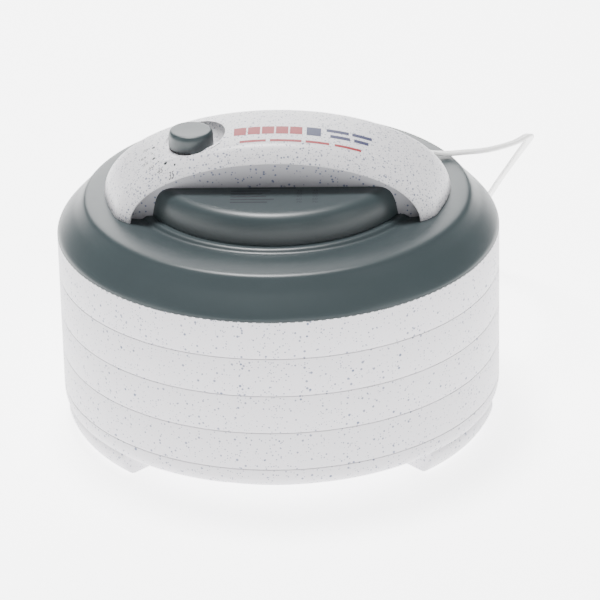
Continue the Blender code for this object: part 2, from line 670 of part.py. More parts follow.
def rotor():
    low, high = CORE_LOW + 0.0002, CORE_HIGH - 0.0002
    inner = MOTOR_SHAFT_RADIUS + GAP
    profile = [(ROTOR_RADIUS, high), (ROTOR_RADIUS, low), (inner, low), (inner, high)]
    return finish(turned("motor_rotor", profile, 20, ring=True), "laminations")


def motor_shaft():
    low, high = HOUSING_TOP + 0.0010, CORE_HIGH + 0.0050
    radius = MOTOR_SHAFT_RADIUS
    profile = [(0.0, high), (radius, high), (radius, low), (0.0, low)]
    return finish(turned("motor_shaft", profile, SMALL_SEGMENTS), "steel")


def fan_impeller():
    """Radial fan hung under the deck: disc, hub and straight blades."""
    top = DECK_TOP - DECK_THICKNESS - 0.0055
    low = HOUSING_TOP + 0.0044
    inner = MOTOR_SHAFT_RADIUS + GAP
    profile = [(FAN_RADIUS, top), (FAN_RADIUS, top - 0.0014), (0.0090, top - 0.0014), (0.0090, low),
               (inner, low), (inner, top + 0.0010), (0.0090, top + 0.0010), (0.0090, top)]
    fan = turned("fan_impeller", profile, 24, ring=True)
    shape = bmesh.new()
    for angle in evenly(FAN_BLADES):
        place = (Matrix.Rotation(math.radians(angle), 4, "Z")
                 @ Matrix.Translation(((FAN_RADIUS + 0.0240) / 2.0, 0.0, (top - 0.0007 + low) / 2.0))
                 @ Matrix.Rotation(math.radians(18.0), 4, "Z")
                 @ Matrix.Diagonal((FAN_RADIUS - 0.0290, 0.0014, top - 0.0007 - low, 1.0)))
        bmesh.ops.create_cube(shape, size=1.0, matrix=place)
    join(fan, from_bmesh("fan_blades", shape))
    return finish(fan, "nylon")


def fan_nut():
    low = HOUSING_TOP + 0.0016
    high = HOUSING_TOP + 0.0044 - GAP
    nut = hexagon("fan_nut", 0.0, 0.0, 0.0060, MOTOR_SHAFT_RADIUS + GAP, low, high)
    return finish(nut, "steel")


def heater_wire():
    """Resistance wire strung up and down round the fan, open where its leads join it."""
    low, high = HOUSING_TOP + 0.0040, HOUSING_TOP + 0.0120
    points = []
    for i in range(HEATER_BENDS):
        angle = math.radians(232.0 + 352.0 * i / (HEATER_BENDS - 1))
        height = low if i % 2 else high
        points.append((HEATER_RADIUS * math.cos(angle), HEATER_RADIUS * math.sin(angle), height))
    return finish(tube("heater_wire", points, 0.0006, 1), "nichrome")


def heater_support(name, angle):
    """Mica post just inside the heater wire."""
    low, high = HOUSING_TOP + GAP, DECK_TOP - DECK_THICKNESS - GAP
    post = sectors(name, [angle], 0.9, HEATER_RADIUS - 0.0090, HEATER_RADIUS - 0.0010, low, high)
    return finish(post, "mica")


def thermal_fuse():
    low = DECK_TOP - DECK_THICKNESS - 0.0026
    fuse = tube("thermal_fuse", [(-0.0060, -HEATER_RADIUS, low), (0.0060, -HEATER_RADIUS, low)], 0.0018, 2)
    return finish(fuse, "brass")


def lower_housing():
    """Plate under the fan: the air goes down through the slots round its rim and back through its middle."""
    radius = SPIGOT_INNER - FIT
    plate_item = turned("lower_housing", [(0.0, HOUSING_TOP), (radius, HOUSING_TOP), (radius, LID_BOTTOM),
                                          (0.0, LID_BOTTOM)])
    low, high = LID_BOTTOM - 0.001, HOUSING_TOP + 0.001
    cut(plate_item,
        sectors("outlet_slots", evenly(DUCT_SLOTS), 180.0 / DUCT_SLOTS - 2.5, radius - 0.0105,
                radius - 0.0025, low, high),
        sectors("return_slots", evenly(6), 24.0, 0.0160, 0.0460, low, high),
        rods("housing_holes", boss_places(), SCREW_RADIUS + SCREW_CLEARANCE, low, high))
    return finish(plate_item, "slate")


# ---------------------------------------------------------------- leads, gland, cord and plug
GLAND_LENGTH = 0.0240
GLAND_X = HANDLE_HALF_SPAN - 0.0160
GLAND_Z = SHOULDER + 0.0120


def gland_hole():
    shape = bmesh.new()
    place = Matrix.Translation((GLAND_X, HANDLE_BACK, GLAND_Z)) @ Matrix.Rotation(math.radians(90.0), 4, "X")
    bmesh.ops.create_cone(shape, cap_ends=True, segments=SMALL_SEGMENTS, radius1=0.0044, radius2=0.0044,
                          depth=0.0120, matrix=place)
    return from_bmesh("gland_hole", shape)


def strain_relief():
    """Tapered grommet through the handle's back wall, along +Y."""
    inside = -HANDLE_WALL - GAP
    profile = [(0.0, GLAND_LENGTH), (0.0026, GLAND_LENGTH), (0.0046, 0.0030), (0.0058, 0.0026), (0.0058, GAP),
               (0.0040, GAP), (0.0040, inside), (0.0056, inside), (0.0056, inside - 0.0020),
               (0.0, inside - 0.0020)]
    gland = turned("strain_relief", profile, SMALL_SEGMENTS)
    gland.location = (GLAND_X, HANDLE_BACK, GLAND_Z)
    gland.rotation_euler = (math.radians(-90.0), 0.0, 0.0)
    return finish(gland, "cord")


CORD_ROUTE = [              # gland tip, over the lid, off its edge and down behind the body
    (0.1180, 0.0366, 0.1988), (0.1182, 0.0440, 0.1975), (0.1225, 0.0530, 0.1925), (0.1325, 0.0590, 0.1893),
    (0.1450, 0.0620, 0.1890), (0.1600, 0.0660, 0.1885), (0.1735, 0.0780, 0.1860), (0.1865, 0.1030, 0.1790),
    (0.1965, 0.1370, 0.1690), (0.1990, 0.1660, 0.1540), (0.1905, 0.1930, 0.1280), (0.1760, 0.2150, 0.0950),
    (0.1600, 0.2370, 0.0580), (0.1430, 0.2590, 0.0260), (0.1240, 0.2775, 0.0085), (0.1030, 0.2895, 0.0050),
    (0.0820, 0.2925, 0.0050), (0.0640, 0.2924, 0.0050),
]


def power_cord():
    route = smooth_route([Vector(point) for point in CORD_ROUTE], 3.2 * 2 * CORD_RADIUS)
    return finish(tube("power_cord", route, CORD_RADIUS, 2), "cord")


def cord_coil():
    inner = COIL_RADIUS - 1.5 * CORD_WIDTH
    outer = COIL_RADIUS + 1.5 * CORD_WIDTH
    low, high = COIL_LIFT, COIL_LIFT + 2.0 * CORD_WIDTH
    soft = 0.0020
    profile = [(outer - soft, high), (outer, high - soft), (outer, low + soft), (outer - soft, low),
               (inner + soft, low), (inner, low + soft), (inner, high - soft), (inner + soft, high)]
    coil = turned("cord_coil", profile, 24, ring=True, centre=COIL_CENTRE)
    start = Vector(CORD_ROUTE[-1])
    pocket = block("coil_pocket", (start.x - 0.0040, start.y - 0.0040, start.z - 0.0040),
                   (start.x + 0.0500, start.y + 0.0060, start.z + 0.0040))
    cut(coil, pocket)
    return finish(coil, "cord")


def cord_tie():
    """Flat band round the coil's bundle, on the side away from the plug."""
    inner = COIL_RADIUS - 1.5 * CORD_WIDTH
    outer = COIL_RADIUS + 1.5 * CORD_WIDTH
    middle_x = COIL_CENTRE[0]
    low, high = COIL_LIFT, COIL_LIFT + 2.0 * CORD_WIDTH
    hole = GAP + 0.0004
    band = 0.0008
    near, far = middle_x - outer - hole, middle_x - inner + hole
    top, bottom = high + hole, low - 0.0004
    outer_line = [(near - band, bottom - band), (far + band, bottom - band), (far + band, top + band),
                  (near - band, top + band)]
    inner_line = [(near, bottom), (near, top), (far, top), (far, bottom)]
    tie = plate("cord_tie", [outer_line, inner_line], COIL_CENTRE[1] - 0.0030, COIL_CENTRE[1] + 0.0030)
    return finish(tie, "phenolic")


PLUG_Y = COIL_CENTRE[1] - COIL_RADIUS - 1.5 * CORD_WIDTH - 0.0120
PLUG_LOW = 0.0005
PLUG_LENGTH = 0.0300
PLUG_X = COIL_CENTRE[0] + 0.0220


def plug_body():
    low, high = PLUG_LOW, PLUG_LOW + 0.0130
    body = block("plug_body", (PLUG_X, PLUG_Y - 0.0115, low), (PLUG_X + PLUG_LENGTH, PLUG_Y + 0.0115, high))
    edge = body.modifiers.new("Rounded edges", "BEVEL")
    edge.width = 0.0025
    edge.segments = 2
    return finish(body, "cord")


def plug_blade(name, offset):
    middle = PLUG_LOW + 0.0065
    blade = block(name, (PLUG_X + PLUG_LENGTH + GAP, PLUG_Y + offset - 0.00075, middle - 0.00315),
                  (PLUG_X + PLUG_LENGTH + 0.0170, PLUG_Y + offset + 0.00075, middle + 0.00315))
    return finish(blade, "brass")


def lead(name, points):
    route = smooth_route([Vector(point) for point in points], 0.0090)
    return finish(tube(name, route, 0.0010, 1), "lead")


def above_shoulder(points):
    """Lead points given by x, y and their height over the lid's shoulder."""
    return [(x, y, SHOULDER + rise) for x, y, rise in points]


def thermostat_lead():
    """From the gland, under the handle's skin, to the thermostat's side."""
    start, end = GLAND_X - 0.0030, KNOB_X + 0.0170
    along = [(start, -0.0020, 0.0132), (start - 0.0070, -0.0080, 0.0212), (start - 0.0250, -0.0140, 0.0297),
             (0.0500, -0.0180, 0.0312), (0.0, -0.0180, 0.0312), (-0.0300, -0.0190, 0.0322)]
    return lead("thermostat_lead", above_shoulder(along) + [(end, KNOB_Y + 0.0045, DISH_FLOOR - 0.0123)])


def motor_lead():
    """From the gland, down through the cover, to the motor's winding."""
    start = GLAND_X - 0.0030
    along = [(start, -0.0080, 0.0112), (start - 0.0080, -0.0160, 0.0182), (start - 0.0250, -0.0220, 0.0277),
             (0.0700, -0.0200, 0.0292), (0.0615, -0.0165, 0.0272), (0.0600, -0.0160, 0.0237),
             (0.0585, -0.0150, 0.0204), (0.0500, 0.0050, 0.0194), (0.0360, 0.0220, 0.0194),
             (0.0240, 0.0335, 0.0192), (0.0192, 0.0360, 0.0187)]
    return lead("motor_lead", above_shoulder(along))


def heater_lead():
    """From the thermostat, down through the cover and the deck, to the heater wire."""
    start = KNOB_X + 0.0165
    along = [(-0.0430, -0.0310, 0.0327), (-0.0360, -0.0302, 0.0287), (-0.0350, -0.0300, 0.0242),
             (-0.0355, -0.0310, 0.0192), (-0.0390, -0.0400, 0.0082), (-0.0400, -0.0450, -0.0038),
             (-0.0405, -0.0460, -0.0083), (-0.0450, -0.0540, -0.0093), (-0.0500, -0.0630, -0.0108),
             (-0.0522, -0.0664, -0.0126)]
    return lead("heater_lead", [(start, KNOB_Y - 0.0050, DISH_FLOOR - 0.0123)] + above_shoulder(along))


# ---------------------------------------------------------------- the whole object
def build():
    base_pan()
    for number in range(TRAY_COUNT, 0, -1):
        seam = BASE_HEIGHT + (TRAY_COUNT - number) * TRAY_PITCH
        tray_wall(f"tray_{number}", seam)
        tray_floor(f"tray_{number}_floor", seam)
    lid_shell()
    motor_cover()
    handle_shell()
    handle_panel("handle_front_panel", PANEL_Y)
    handle_panel("handle_rear_panel", REAR_PANEL_Y - PANEL_THICKNESS)
    thermostat_knob()
    thermostat_shaft()
    thermostat_body()
    thermostat_nut()
    thermostat_bimetal()
    motor_deck()
    stator_core()
    coil_bobbin()
    stator_coil()
    bearing_bracket("bearing_bracket_lower", CORE_LOW, -1.0)
    bearing_bracket("bearing_bracket_upper", CORE_HIGH, 1.0)
    bushing("bushing_lower", CORE_LOW - 0.0045, CORE_LOW - 0.0006)
    bushing("bushing_upper", CORE_HIGH + 0.0006, CORE_HIGH + 0.0045)
    rotor()
    motor_shaft()
    fan_impeller()
    fan_nut()
    heater_wire()
    for number, angle in enumerate(evenly(4, 45.0), 1):
        heater_support(f"heater_support_{number}", angle)
    thermal_fuse()
    lower_housing()
    for number, (x, y) in enumerate(boss_places(), 1):
        screw(f"housing_screw_{number}", x, y, LID_BOTTOM - SCREW_HEAD_HEIGHT - GAP, SHOULDER - 0.0130)
    for number, (x, y) in enumerate(deck_screw_places(), 1):
        screw(f"deck_screw_{number}", x, y, DECK_TOP - DECK_THICKNESS - SCREW_HEAD_HEIGHT - GAP,
              RING_TOP - 0.0020)
    for number, (x, y) in enumerate(handle_screw_places(), 1):
        screw(f"handle_screw_{number}", x, y, LID_INSIDE - SCREW_HEAD_HEIGHT - 0.0006, SHOULDER + 0.0150)
    for number, x in enumerate((-MOTOR_SCREW_X, MOTOR_SCREW_X), 1):
        screw(f"motor_screw_{number}", x, 0.0, DECK_TOP - DECK_THICKNESS - SCREW_HEAD_HEIGHT - GAP,
              CORE_HIGH + BRACKET + 0.0030)
    strain_relief()
    thermostat_lead()
    motor_lead()
    heater_lead()
    power_cord()
    cord_coil()
    cord_tie()
    plug_body()
    plug_blade("plug_blade_left", -0.00635)
    plug_blade("plug_blade_right", 0.00635)


build()
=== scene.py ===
import math

import bpy
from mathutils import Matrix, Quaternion, Vector


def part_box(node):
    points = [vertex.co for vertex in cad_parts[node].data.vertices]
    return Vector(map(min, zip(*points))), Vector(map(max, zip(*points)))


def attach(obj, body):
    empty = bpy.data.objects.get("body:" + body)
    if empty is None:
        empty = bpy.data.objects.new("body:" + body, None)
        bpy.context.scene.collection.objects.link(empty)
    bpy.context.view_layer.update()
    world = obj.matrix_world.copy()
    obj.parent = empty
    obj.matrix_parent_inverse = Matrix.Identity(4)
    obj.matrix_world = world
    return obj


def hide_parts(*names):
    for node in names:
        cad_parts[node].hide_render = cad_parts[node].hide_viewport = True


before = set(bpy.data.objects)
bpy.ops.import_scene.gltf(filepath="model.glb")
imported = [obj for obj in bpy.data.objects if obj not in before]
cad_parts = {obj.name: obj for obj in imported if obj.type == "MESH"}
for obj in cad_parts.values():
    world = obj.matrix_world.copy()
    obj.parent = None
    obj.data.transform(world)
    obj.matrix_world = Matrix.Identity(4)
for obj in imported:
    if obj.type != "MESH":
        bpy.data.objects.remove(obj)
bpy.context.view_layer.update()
bpy.ops.object.select_all(action="DESELECT")
print("packed model loaded")

# heights and widths of the stack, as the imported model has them
stack = {
    "radius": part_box("tray_1")[1].x,
    "baseTop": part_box("base_pan")[1].z,
    "trayTop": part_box("tray_1")[1].z,
    "ringTop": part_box("lid_shell")[1].z,
    "coverTop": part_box("motor_cover")[1].z,
    "coverRadius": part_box("motor_cover")[1].x,
    "gap": 0.0003,
}
stack["pitch"] = (stack["trayTop"] - stack["baseTop"]) / 4
stack["shoulder"] = stack["ringTop"] - 0.0020


# camera and light

camera = {
    "target": (0.0, 0.0, stack["trayTop"]),
    "distance": 3.2,
    "azimuth": 2.3,         # degrees round from the front, away from the knob
    "elevation": 25.33,
    "roll": 1.29,
    "lens": 247.3,
    "aimRight": 0.0154,     # the view's middle, off the target
    "aimDown": 0.0603,
}


def makeCamera():
    turn = math.radians(camera["azimuth"])
    rise = math.radians(camera["elevation"])
    back = Vector((math.sin(turn) * math.cos(rise), -math.cos(turn) * math.cos(rise), math.sin(rise)))
    right = Vector((math.cos(turn), math.sin(turn), 0.0))
    up = back.cross(right)
    target = Vector(camera["target"])
    place = target + back * camera["distance"]
    aim = target + right * camera["aimRight"] - up * camera["aimDown"]
    bpy.ops.object.camera_add(location=place)
    made = bpy.context.object
    made.name = "mainCamera"
    made.data.lens = camera["lens"]
    made.data.clip_start = 0.05
    made.data.clip_end = 60.0
    roll = Quaternion((0.0, 0.0, 1.0), -math.radians(camera["roll"]))
    made.rotation_mode = "QUATERNION"
    made.rotation_quaternion = (aim - place).to_track_quat("-Z", "Y") @ roll
    bpy.context.scene.camera = made


studio = {
    "sky": (0.95, 0.97, 1.0),
    "skyStrength": 0.28,
    "floor": (0.95, 0.95, 0.95),
    "floorGlow": 4.2,       # the sweep is lit from under, as a light table is
    "lamps": [              # name, place, size, watts
        ("backSoftbox", (-0.35, 2.7, 1.25), 2.2, 80.0),
        ("overheadSoftbox", (-0.20, 0.30, 2.1), 0.6, 88.0),
        ("rightSoftbox", (1.9, -1.2, 1.0), 1.0, 7.0),
        ("leftSoftbox", (-2.0, -1.0, 0.8), 0.9, 4.0),
        ("frontSoftbox", (0.5, -3.0, 1.1), 1.3, 7.0),
    ],
}


def makeStudio():
    world = bpy.data.worlds.new("studioAir")
    world.use_nodes = True
    air = world.node_tree.nodes["Background"]
    air.inputs["Color"].default_value = (*studio["sky"], 1.0)
    air.inputs["Strength"].default_value = studio["skyStrength"]
    bpy.context.scene.world = world
    for name, place, size, watts in studio["lamps"]:
        bpy.ops.object.light_add(type="AREA", location=place)
        lamp = bpy.context.object
        lamp.name = name
        lamp.data.shape = "DISK"
        lamp.data.size = size
        lamp.data.energy = watts
        lamp.rotation_mode = "QUATERNION"
        lamp.rotation_quaternion = (Vector((0.0, 0.0, 0.12)) - Vector(place)).to_track_quat("-Z", "Y")
    bpy.ops.mesh.primitive_plane_add(size=30.0, location=(0.0, 0.0, 0.0))
    floor = bpy.context.object
    floor.name = "studioFloor"
    paint = bpy.data.materials.new("paleFloor")
    paint.use_nodes = True
    shader = paint.node_tree.nodes["Principled BSDF"]
    shader.inputs["Base Color"].default_value = (*studio["floor"], 1.0)
    shader.inputs["Roughness"].default_value = 0.9
    shader.inputs["Emission Color"].default_value = (1.0, 1.0, 1.0, 1.0)
    shader.inputs["Emission Strength"].default_value = studio["floorGlow"]
    floor.data.materials.append(paint)


makeCamera()
makeStudio()
print("camera and light ready")


# modelling helpers

def deselectAll():
    if bpy.context.object and bpy.context.object.mode != "OBJECT":
        bpy.ops.object.mode_set(mode="OBJECT")
    bpy.ops.object.select_all(action="DESELECT")


def makeActive(piece):
    deselectAll()
    piece.select_set(True)
    bpy.context.view_layer.objects.active = piece


def editAll():
    bpy.ops.object.mode_set(mode="EDIT")
    bpy.ops.mesh.select_all(action="SELECT")


def leaveEdit():
    # every face turned outwards, then out of edit mode
    bpy.ops.mesh.select_all(action="SELECT")
    bpy.ops.mesh.normals_make_consistent(inside=False)
    bpy.ops.object.mode_set(mode="OBJECT")


def applyModifiers(piece):
    makeActive(piece)
    for modifier in list(piece.modifiers):
        bpy.ops.object.modifier_apply(modifier=modifier.name)


def settle(piece, angle=35.0):
    # place goes into the mesh, then smooth shading that keeps real corners
    makeActive(piece)
    bpy.ops.object.transform_apply(location=True, rotation=True, scale=True)
    bpy.ops.object.shade_smooth_by_angle(angle=math.radians(angle))
    return piece


def softOutline(corners, ring=True, steps=4):
    # corners are (across, height, radius); each is rounded by its own radius
    count = len(corners)
    points = []
    for i, (across, height, soft) in enumerate(corners):
        here = Vector((across, height))
        if soft == 0 or (not ring and i in (0, count - 1)):
            points.append((across, height))
            continue
        before = Vector(corners[i - 1][:2]) - here
        after = Vector(corners[(i + 1) % count][:2]) - here
        start = here + before.normalized() * min(soft, before.length * 0.49)
        stop = here + after.normalized() * min(soft, after.length * 0.49)
        for step in range(steps + 1):
            t = step / steps
            point = start * (1 - t) ** 2 + here * (2 * t * (1 - t)) + stop * t ** 2
            points.append((point.x, point.y))
    return points


def lathe(name, outline, steps=160, ring=True, centre=(0.0, 0.0)):
    # a circle drawn out loop by loop round the outline; an outline that isn't a ring is capped
    tip = 0.0002
    points = [(max(across, tip), height) for across, height in outline]
    if ring:
        points.append(points[0])
    deselectAll()
    bpy.ops.mesh.primitive_circle_add(vertices=steps, radius=points[0][0],
                                      fill_type="NOTHING" if ring else "NGON",
                                      location=(centre[0], centre[1], points[0][1]))
    piece = bpy.context.object
    piece.name = name
    editAll()
    for (oldAcross, oldHeight), (across, height) in zip(points, points[1:]):
        if ring:
            bpy.ops.mesh.extrude_edges_move(TRANSFORM_OT_translate={"value": (0.0, 0.0, height - oldHeight)})
        else:
            bpy.ops.mesh.extrude_region_move(TRANSFORM_OT_translate={"value": (0.0, 0.0, height - oldHeight)})
        share = across / oldAcross
        bpy.ops.transform.resize(value=(share, share, 1.0), center_override=(centre[0], centre[1], height))
    bpy.ops.mesh.select_all(action="SELECT")
    bpy.ops.mesh.remove_doubles(threshold=0.000002)
    leaveEdit()
    return settle(piece)


def block(name, low, high, soft=0.0, segments=2):
    deselectAll()
    middle = [(a + b) / 2 for a, b in zip(low, high)]
    bpy.ops.mesh.primitive_cube_add(size=1.0, location=middle)
    piece = bpy.context.object
    piece.name = name
    piece.scale = [b - a for a, b in zip(low, high)]
    bpy.ops.object.transform_apply(location=True, rotation=True, scale=True)
    if soft:
        editAll()
        bpy.ops.mesh.bevel(offset=soft, segments=segments)
        bpy.ops.object.mode_set(mode="OBJECT")
    return piece


def rod(name, radius, low, high, centre=(0.0, 0.0), vertices=48):
    deselectAll()
    bpy.ops.mesh.primitive_cylinder_add(vertices=vertices, radius=radius, depth=high - low,
                                        location=(centre[0], centre[1], (low + high) / 2))
    piece = bpy.context.object
    piece.name = name
    bpy.ops.object.transform_apply(location=True, rotation=True, scale=True)
    return piece


def carve(piece, tool, how="DIFFERENCE"):
    makeActive(piece)
    step = piece.modifiers.new("carve", "BOOLEAN")
    step.operation = how
    step.object = tool
    bpy.ops.object.modifier_apply(modifier=step.name)
    bpy.data.objects.remove(tool, do_unlink=True)
    return piece


def joinPieces(pieces, name):
    deselectAll()
    for piece in pieces:
        piece.select_set(True)
    bpy.context.view_layer.objects.active = pieces[0]
    bpy.ops.object.join()
    joined = bpy.context.object
    joined.name = name
    return joined


def place(piece, body, slot, material, *nodes):
    # hand a finished piece to its body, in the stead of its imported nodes
    piece.data.materials.clear()
    piece.data.materials.append(material)
    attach(piece, body)
    if nodes:
        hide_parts(*nodes)
    return piece


# finishes

def newMaterial(name, colour, roughness, metallic=0.0):
    material = bpy.data.materials.new(name)
    material.use_nodes = True
    shader = material.node_tree.nodes["Principled BSDF"]
    shader.inputs["Base Color"].default_value = (*colour, 1.0)
    shader.inputs["Roughness"].default_value = roughness
    shader.inputs["Metallic"].default_value = metallic
    return material, material.node_tree, shader


def addNode(tree, kind, **settings):
    # settings with a capital first letter are input sockets, the others are the node's own choices
    node = tree.nodes.new(kind)
    for key, value in settings.items():
        if key[0].isupper():
            node.inputs[key.replace("_", " ")].default_value = value
        else:
            setattr(node, key, value)
    return node


def addMath(tree, operation, first, second=None):
    node = tree.nodes.new("ShaderNodeMath")
    node.operation = operation
    for socket, value in zip(node.inputs, (first, second)):
        if value is None:
            continue
        if isinstance(value, (int, float)):
            socket.default_value = value
        else:
            tree.links.new(value, socket)
    return node.outputs[0]


def newGroup(name, inputs, outputs):
    group = bpy.data.node_groups.new(name, "ShaderNodeTree")
    for label, kind, value in inputs:
        socket = group.interface.new_socket(label, in_out="INPUT", socket_type="NodeSocket" + kind)
        if value is not None:
            socket.default_value = value
    for label, kind in outputs:
        group.interface.new_socket(label, in_out="OUTPUT", socket_type="NodeSocket" + kind)
    return group, group.nodes.new("NodeGroupInput"), group.nodes.new("NodeGroupOutput")


def makeSpeckGroup():
    # round specks of one size scattered through the plastic, one to a cell, only in some cells
    group, given, result = newGroup("speckLayer", [
        ("Vector", "Vector", None), ("Cells", "Float", 200.0), ("Size", "Float", 0.1), ("Share", "Float", 0.4),
    ], [("Mask", "Float")])
    cells = addNode(group, "ShaderNodeTexVoronoi", voronoi_dimensions="3D", feature="F1")
    group.links.new(given.outputs["Vector"], cells.inputs["Vector"])
    group.links.new(given.outputs["Cells"], cells.inputs["Scale"])
    chance = addNode(group, "ShaderNodeSeparateColor")
    group.links.new(cells.outputs["Color"], chance.inputs["Color"])
    size = addMath(group, "MULTIPLY", given.outputs["Size"],
                   addMath(group, "ADD", chance.outputs["Green"], 0.45))
    inside = addMath(group, "SUBTRACT", size, cells.outputs["Distance"])
    soft = addMath(group, "DIVIDE", inside, addMath(group, "MULTIPLY", given.outputs["Size"], 0.22))
    clipped = addMath(group, "MINIMUM", addMath(group, "MAXIMUM", soft, 0.0), 1.0)
    chosen = addMath(group, "LESS_THAN", chance.outputs["Red"], given.outputs["Share"])
    group.links.new(addMath(group, "MULTIPLY", clipped, chosen), result.inputs["Mask"])
    return group


def makeMouldGroup():
    # the skin of moulded plastic: a broad unevenness under a fine grain, and slow drifts of gloss
    group, given, result = newGroup("mouldedSkin", [
        ("Vector", "Vector", None), ("Grain", "Float", 1400.0), ("Waves", "Float", 28.0),
        ("Roughness", "Float", 0.4), ("Drift", "Float", 0.06),
    ], [("Height", "Float"), ("Roughness", "Float"), ("Shade", "Float")])
    grain = addNode(group, "ShaderNodeTexNoise", Detail=2.0)
    waves = addNode(group, "ShaderNodeTexNoise", Detail=2.5)
    wear = addNode(group, "ShaderNodeTexNoise", Scale=160.0, Detail=4.0)
    for node in (grain, waves, wear):
        group.links.new(given.outputs["Vector"], node.inputs["Vector"])
    group.links.new(given.outputs["Grain"], grain.inputs["Scale"])
    group.links.new(given.outputs["Waves"], waves.inputs["Scale"])
    height = addMath(group, "ADD", addMath(group, "MULTIPLY", grain.outputs["Fac"], 0.3),
                     addMath(group, "MULTIPLY", waves.outputs["Fac"], 1.2))
    group.links.new(height, result.inputs["Height"])
    centred = addMath(group, "SUBTRACT", wear.outputs["Fac"], 0.5)
    drift = addMath(group, "MULTIPLY", centred, given.outputs["Drift"])
    group.links.new(addMath(group, "ADD", given.outputs["Roughness"], drift), result.inputs["Roughness"])
    group.links.new(waves.outputs["Fac"], result.inputs["Shade"])
    return group


speckGroup = makeSpeckGroup()
mouldGroup = makeMouldGroup()


def useGroup(tree, group, vector, **values):
    node = tree.nodes.new("ShaderNodeGroup")
    node.node_tree = group
    tree.links.new(vector, node.inputs["Vector"])
    for label, value in values.items():
        node.inputs[label].default_value = value
    return node


def mixColour(tree, mask, under, over, how="MIX"):
    node = addNode(tree, "ShaderNodeMix", data_type="RGBA", blend_type=how)
    for socket, value in ((node.inputs[0], mask), (node.inputs[6], under), (node.inputs[7], over)):
        if isinstance(value, (tuple, float, int)):
            socket.default_value = (*value, 1.0) if isinstance(value, tuple) else value
        else:
            tree.links.new(value, socket)
    return node.outputs[2]


def mouldedPlastic(name, colour, roughness, grain=1400.0, waves=28.0, bump=0.06, shade=0.05, specks=(),
                   speckColour=(0.05, 0.07, 0.14), coat=0.0):
    material, tree, shader = newMaterial(name, colour, roughness)
    where = tree.nodes.new("ShaderNodeTexCoord").outputs["Object"]
    skin = useGroup(tree, mouldGroup, where, Grain=grain, Waves=waves, Roughness=roughness)
    darker = tuple(c * (1.0 - shade) for c in colour)
    lighter = tuple(min(1.0, c * (1.0 + shade)) for c in colour)
    tint = mixColour(tree, skin.outputs["Shade"], darker, lighter)
    for cells, size, share, strength in specks:
        layer = useGroup(tree, speckGroup, where, Cells=cells, Size=size, Share=share)
        tint = mixColour(tree, addMath(tree, "MULTIPLY", layer.outputs["Mask"], strength), tint, speckColour)
    tree.links.new(tint, shader.inputs["Base Color"])
    tree.links.new(skin.outputs["Roughness"], shader.inputs["Roughness"])
    relief = addNode(tree, "ShaderNodeBump", Strength=bump, Distance=0.0004)
    tree.links.new(skin.outputs["Height"], relief.inputs["Height"])
    tree.links.new(relief.outputs["Normal"], shader.inputs["Normal"])
    shader.inputs["Coat Weight"].default_value = coat
    return material


def brushedMetal(name, colour, roughness, along=(40.0, 900.0, 40.0), bump=0.12):
    # drawn or ground metal: long fine scratches, a few dull patches
    material, tree, shader = newMaterial(name, colour, roughness, 1.0)
    where = tree.nodes.new("ShaderNodeTexCoord").outputs["Object"]
    stretch = addNode(tree, "ShaderNodeMapping", Scale=along)
    tree.links.new(where, stretch.inputs["Vector"])
    lines = addNode(tree, "ShaderNodeTexNoise", Scale=6.0, Detail=4.0)
    tree.links.new(stretch.outputs["Vector"], lines.inputs["Vector"])
    patches = useGroup(tree, mouldGroup, where, Grain=700.0, Waves=60.0, Roughness=roughness, Drift=0.25)
    tree.links.new(patches.outputs["Roughness"], shader.inputs["Roughness"])
    tint = mixColour(tree, lines.outputs["Fac"], tuple(c * 0.82 for c in colour),
                     tuple(min(1.0, c * 1.12) for c in colour))
    tree.links.new(tint, shader.inputs["Base Color"])
    relief = addNode(tree, "ShaderNodeBump", Strength=bump, Distance=0.0002)
    tree.links.new(lines.outputs["Fac"], relief.inputs["Height"])
    tree.links.new(relief.outputs["Normal"], shader.inputs["Normal"])
    return material


trayPlastic = mouldedPlastic(
    "speckledTrayPlastic", (0.58, 0.565, 0.59), 0.46, bump=0.10, shade=0.02,
    specks=((260.0, 0.21, 0.62, 0.8), (520.0, 0.24, 0.55, 0.7), (120.0, 0.12, 0.5, 0.95)))
handlePlastic = mouldedPlastic(
    "speckledHandlePlastic", (0.60, 0.59, 0.605), 0.38, bump=0.08, shade=0.02,
    specks=((420.0, 0.28, 0.66, 0.75), (800.0, 0.32, 0.62, 0.6), (230.0, 0.16, 0.42, 0.85)))
# the walls under the arch: the handle's plastic darkened, painted shade standing in for the shade under the
# arch's lip
shadeDarkenedWallPlastic = mouldedPlastic(
    "paintedShadeWallPlastic", (0.36, 0.36, 0.385), 0.42, bump=0.08, shade=0.02,
    specks=((420.0, 0.28, 0.66, 0.75), (230.0, 0.16, 0.42, 0.85)))
slatePlastic = mouldedPlastic("slateLidPlastic", (0.026, 0.037, 0.040), 0.40, grain=2200.0, bump=0.07,
                              shade=0.08)
cordPlastic = mouldedPlastic("whiteCordPlastic", (0.74, 0.735, 0.725), 0.42, grain=2600.0, waves=60.0)
blackPlastic = mouldedPlastic("blackPhenolic", (0.020, 0.018, 0.016), 0.45, bump=0.12)
nylonPlastic = mouldedPlastic("naturalNylon", (0.70, 0.68, 0.62), 0.45)
micaBoard = mouldedPlastic("micaBoard", (0.50, 0.42, 0.30), 0.55, grain=500.0, waves=200.0, bump=0.3, shade=0.3,
                           specks=((900.0, 0.3, 0.5, 0.5),), speckColour=(0.16, 0.11, 0.06))
leadPlastic = mouldedPlastic("redLeadPlastic", (0.50, 0.03, 0.03), 0.45, waves=90.0)
platedSteel = brushedMetal("platedSteel", (0.50, 0.51, 0.53), 0.34)
darkSteel = brushedMetal("oiledLaminations", (0.20, 0.20, 0.21), 0.46, along=(30.0, 30.0, 2400.0), bump=0.5)
copperWinding = brushedMetal("copperWinding", (0.62, 0.26, 0.12), 0.36, along=(1800.0, 60.0, 60.0), bump=0.6)
plainBrass = brushedMetal("plainBrass", (0.66, 0.48, 0.20), 0.32)
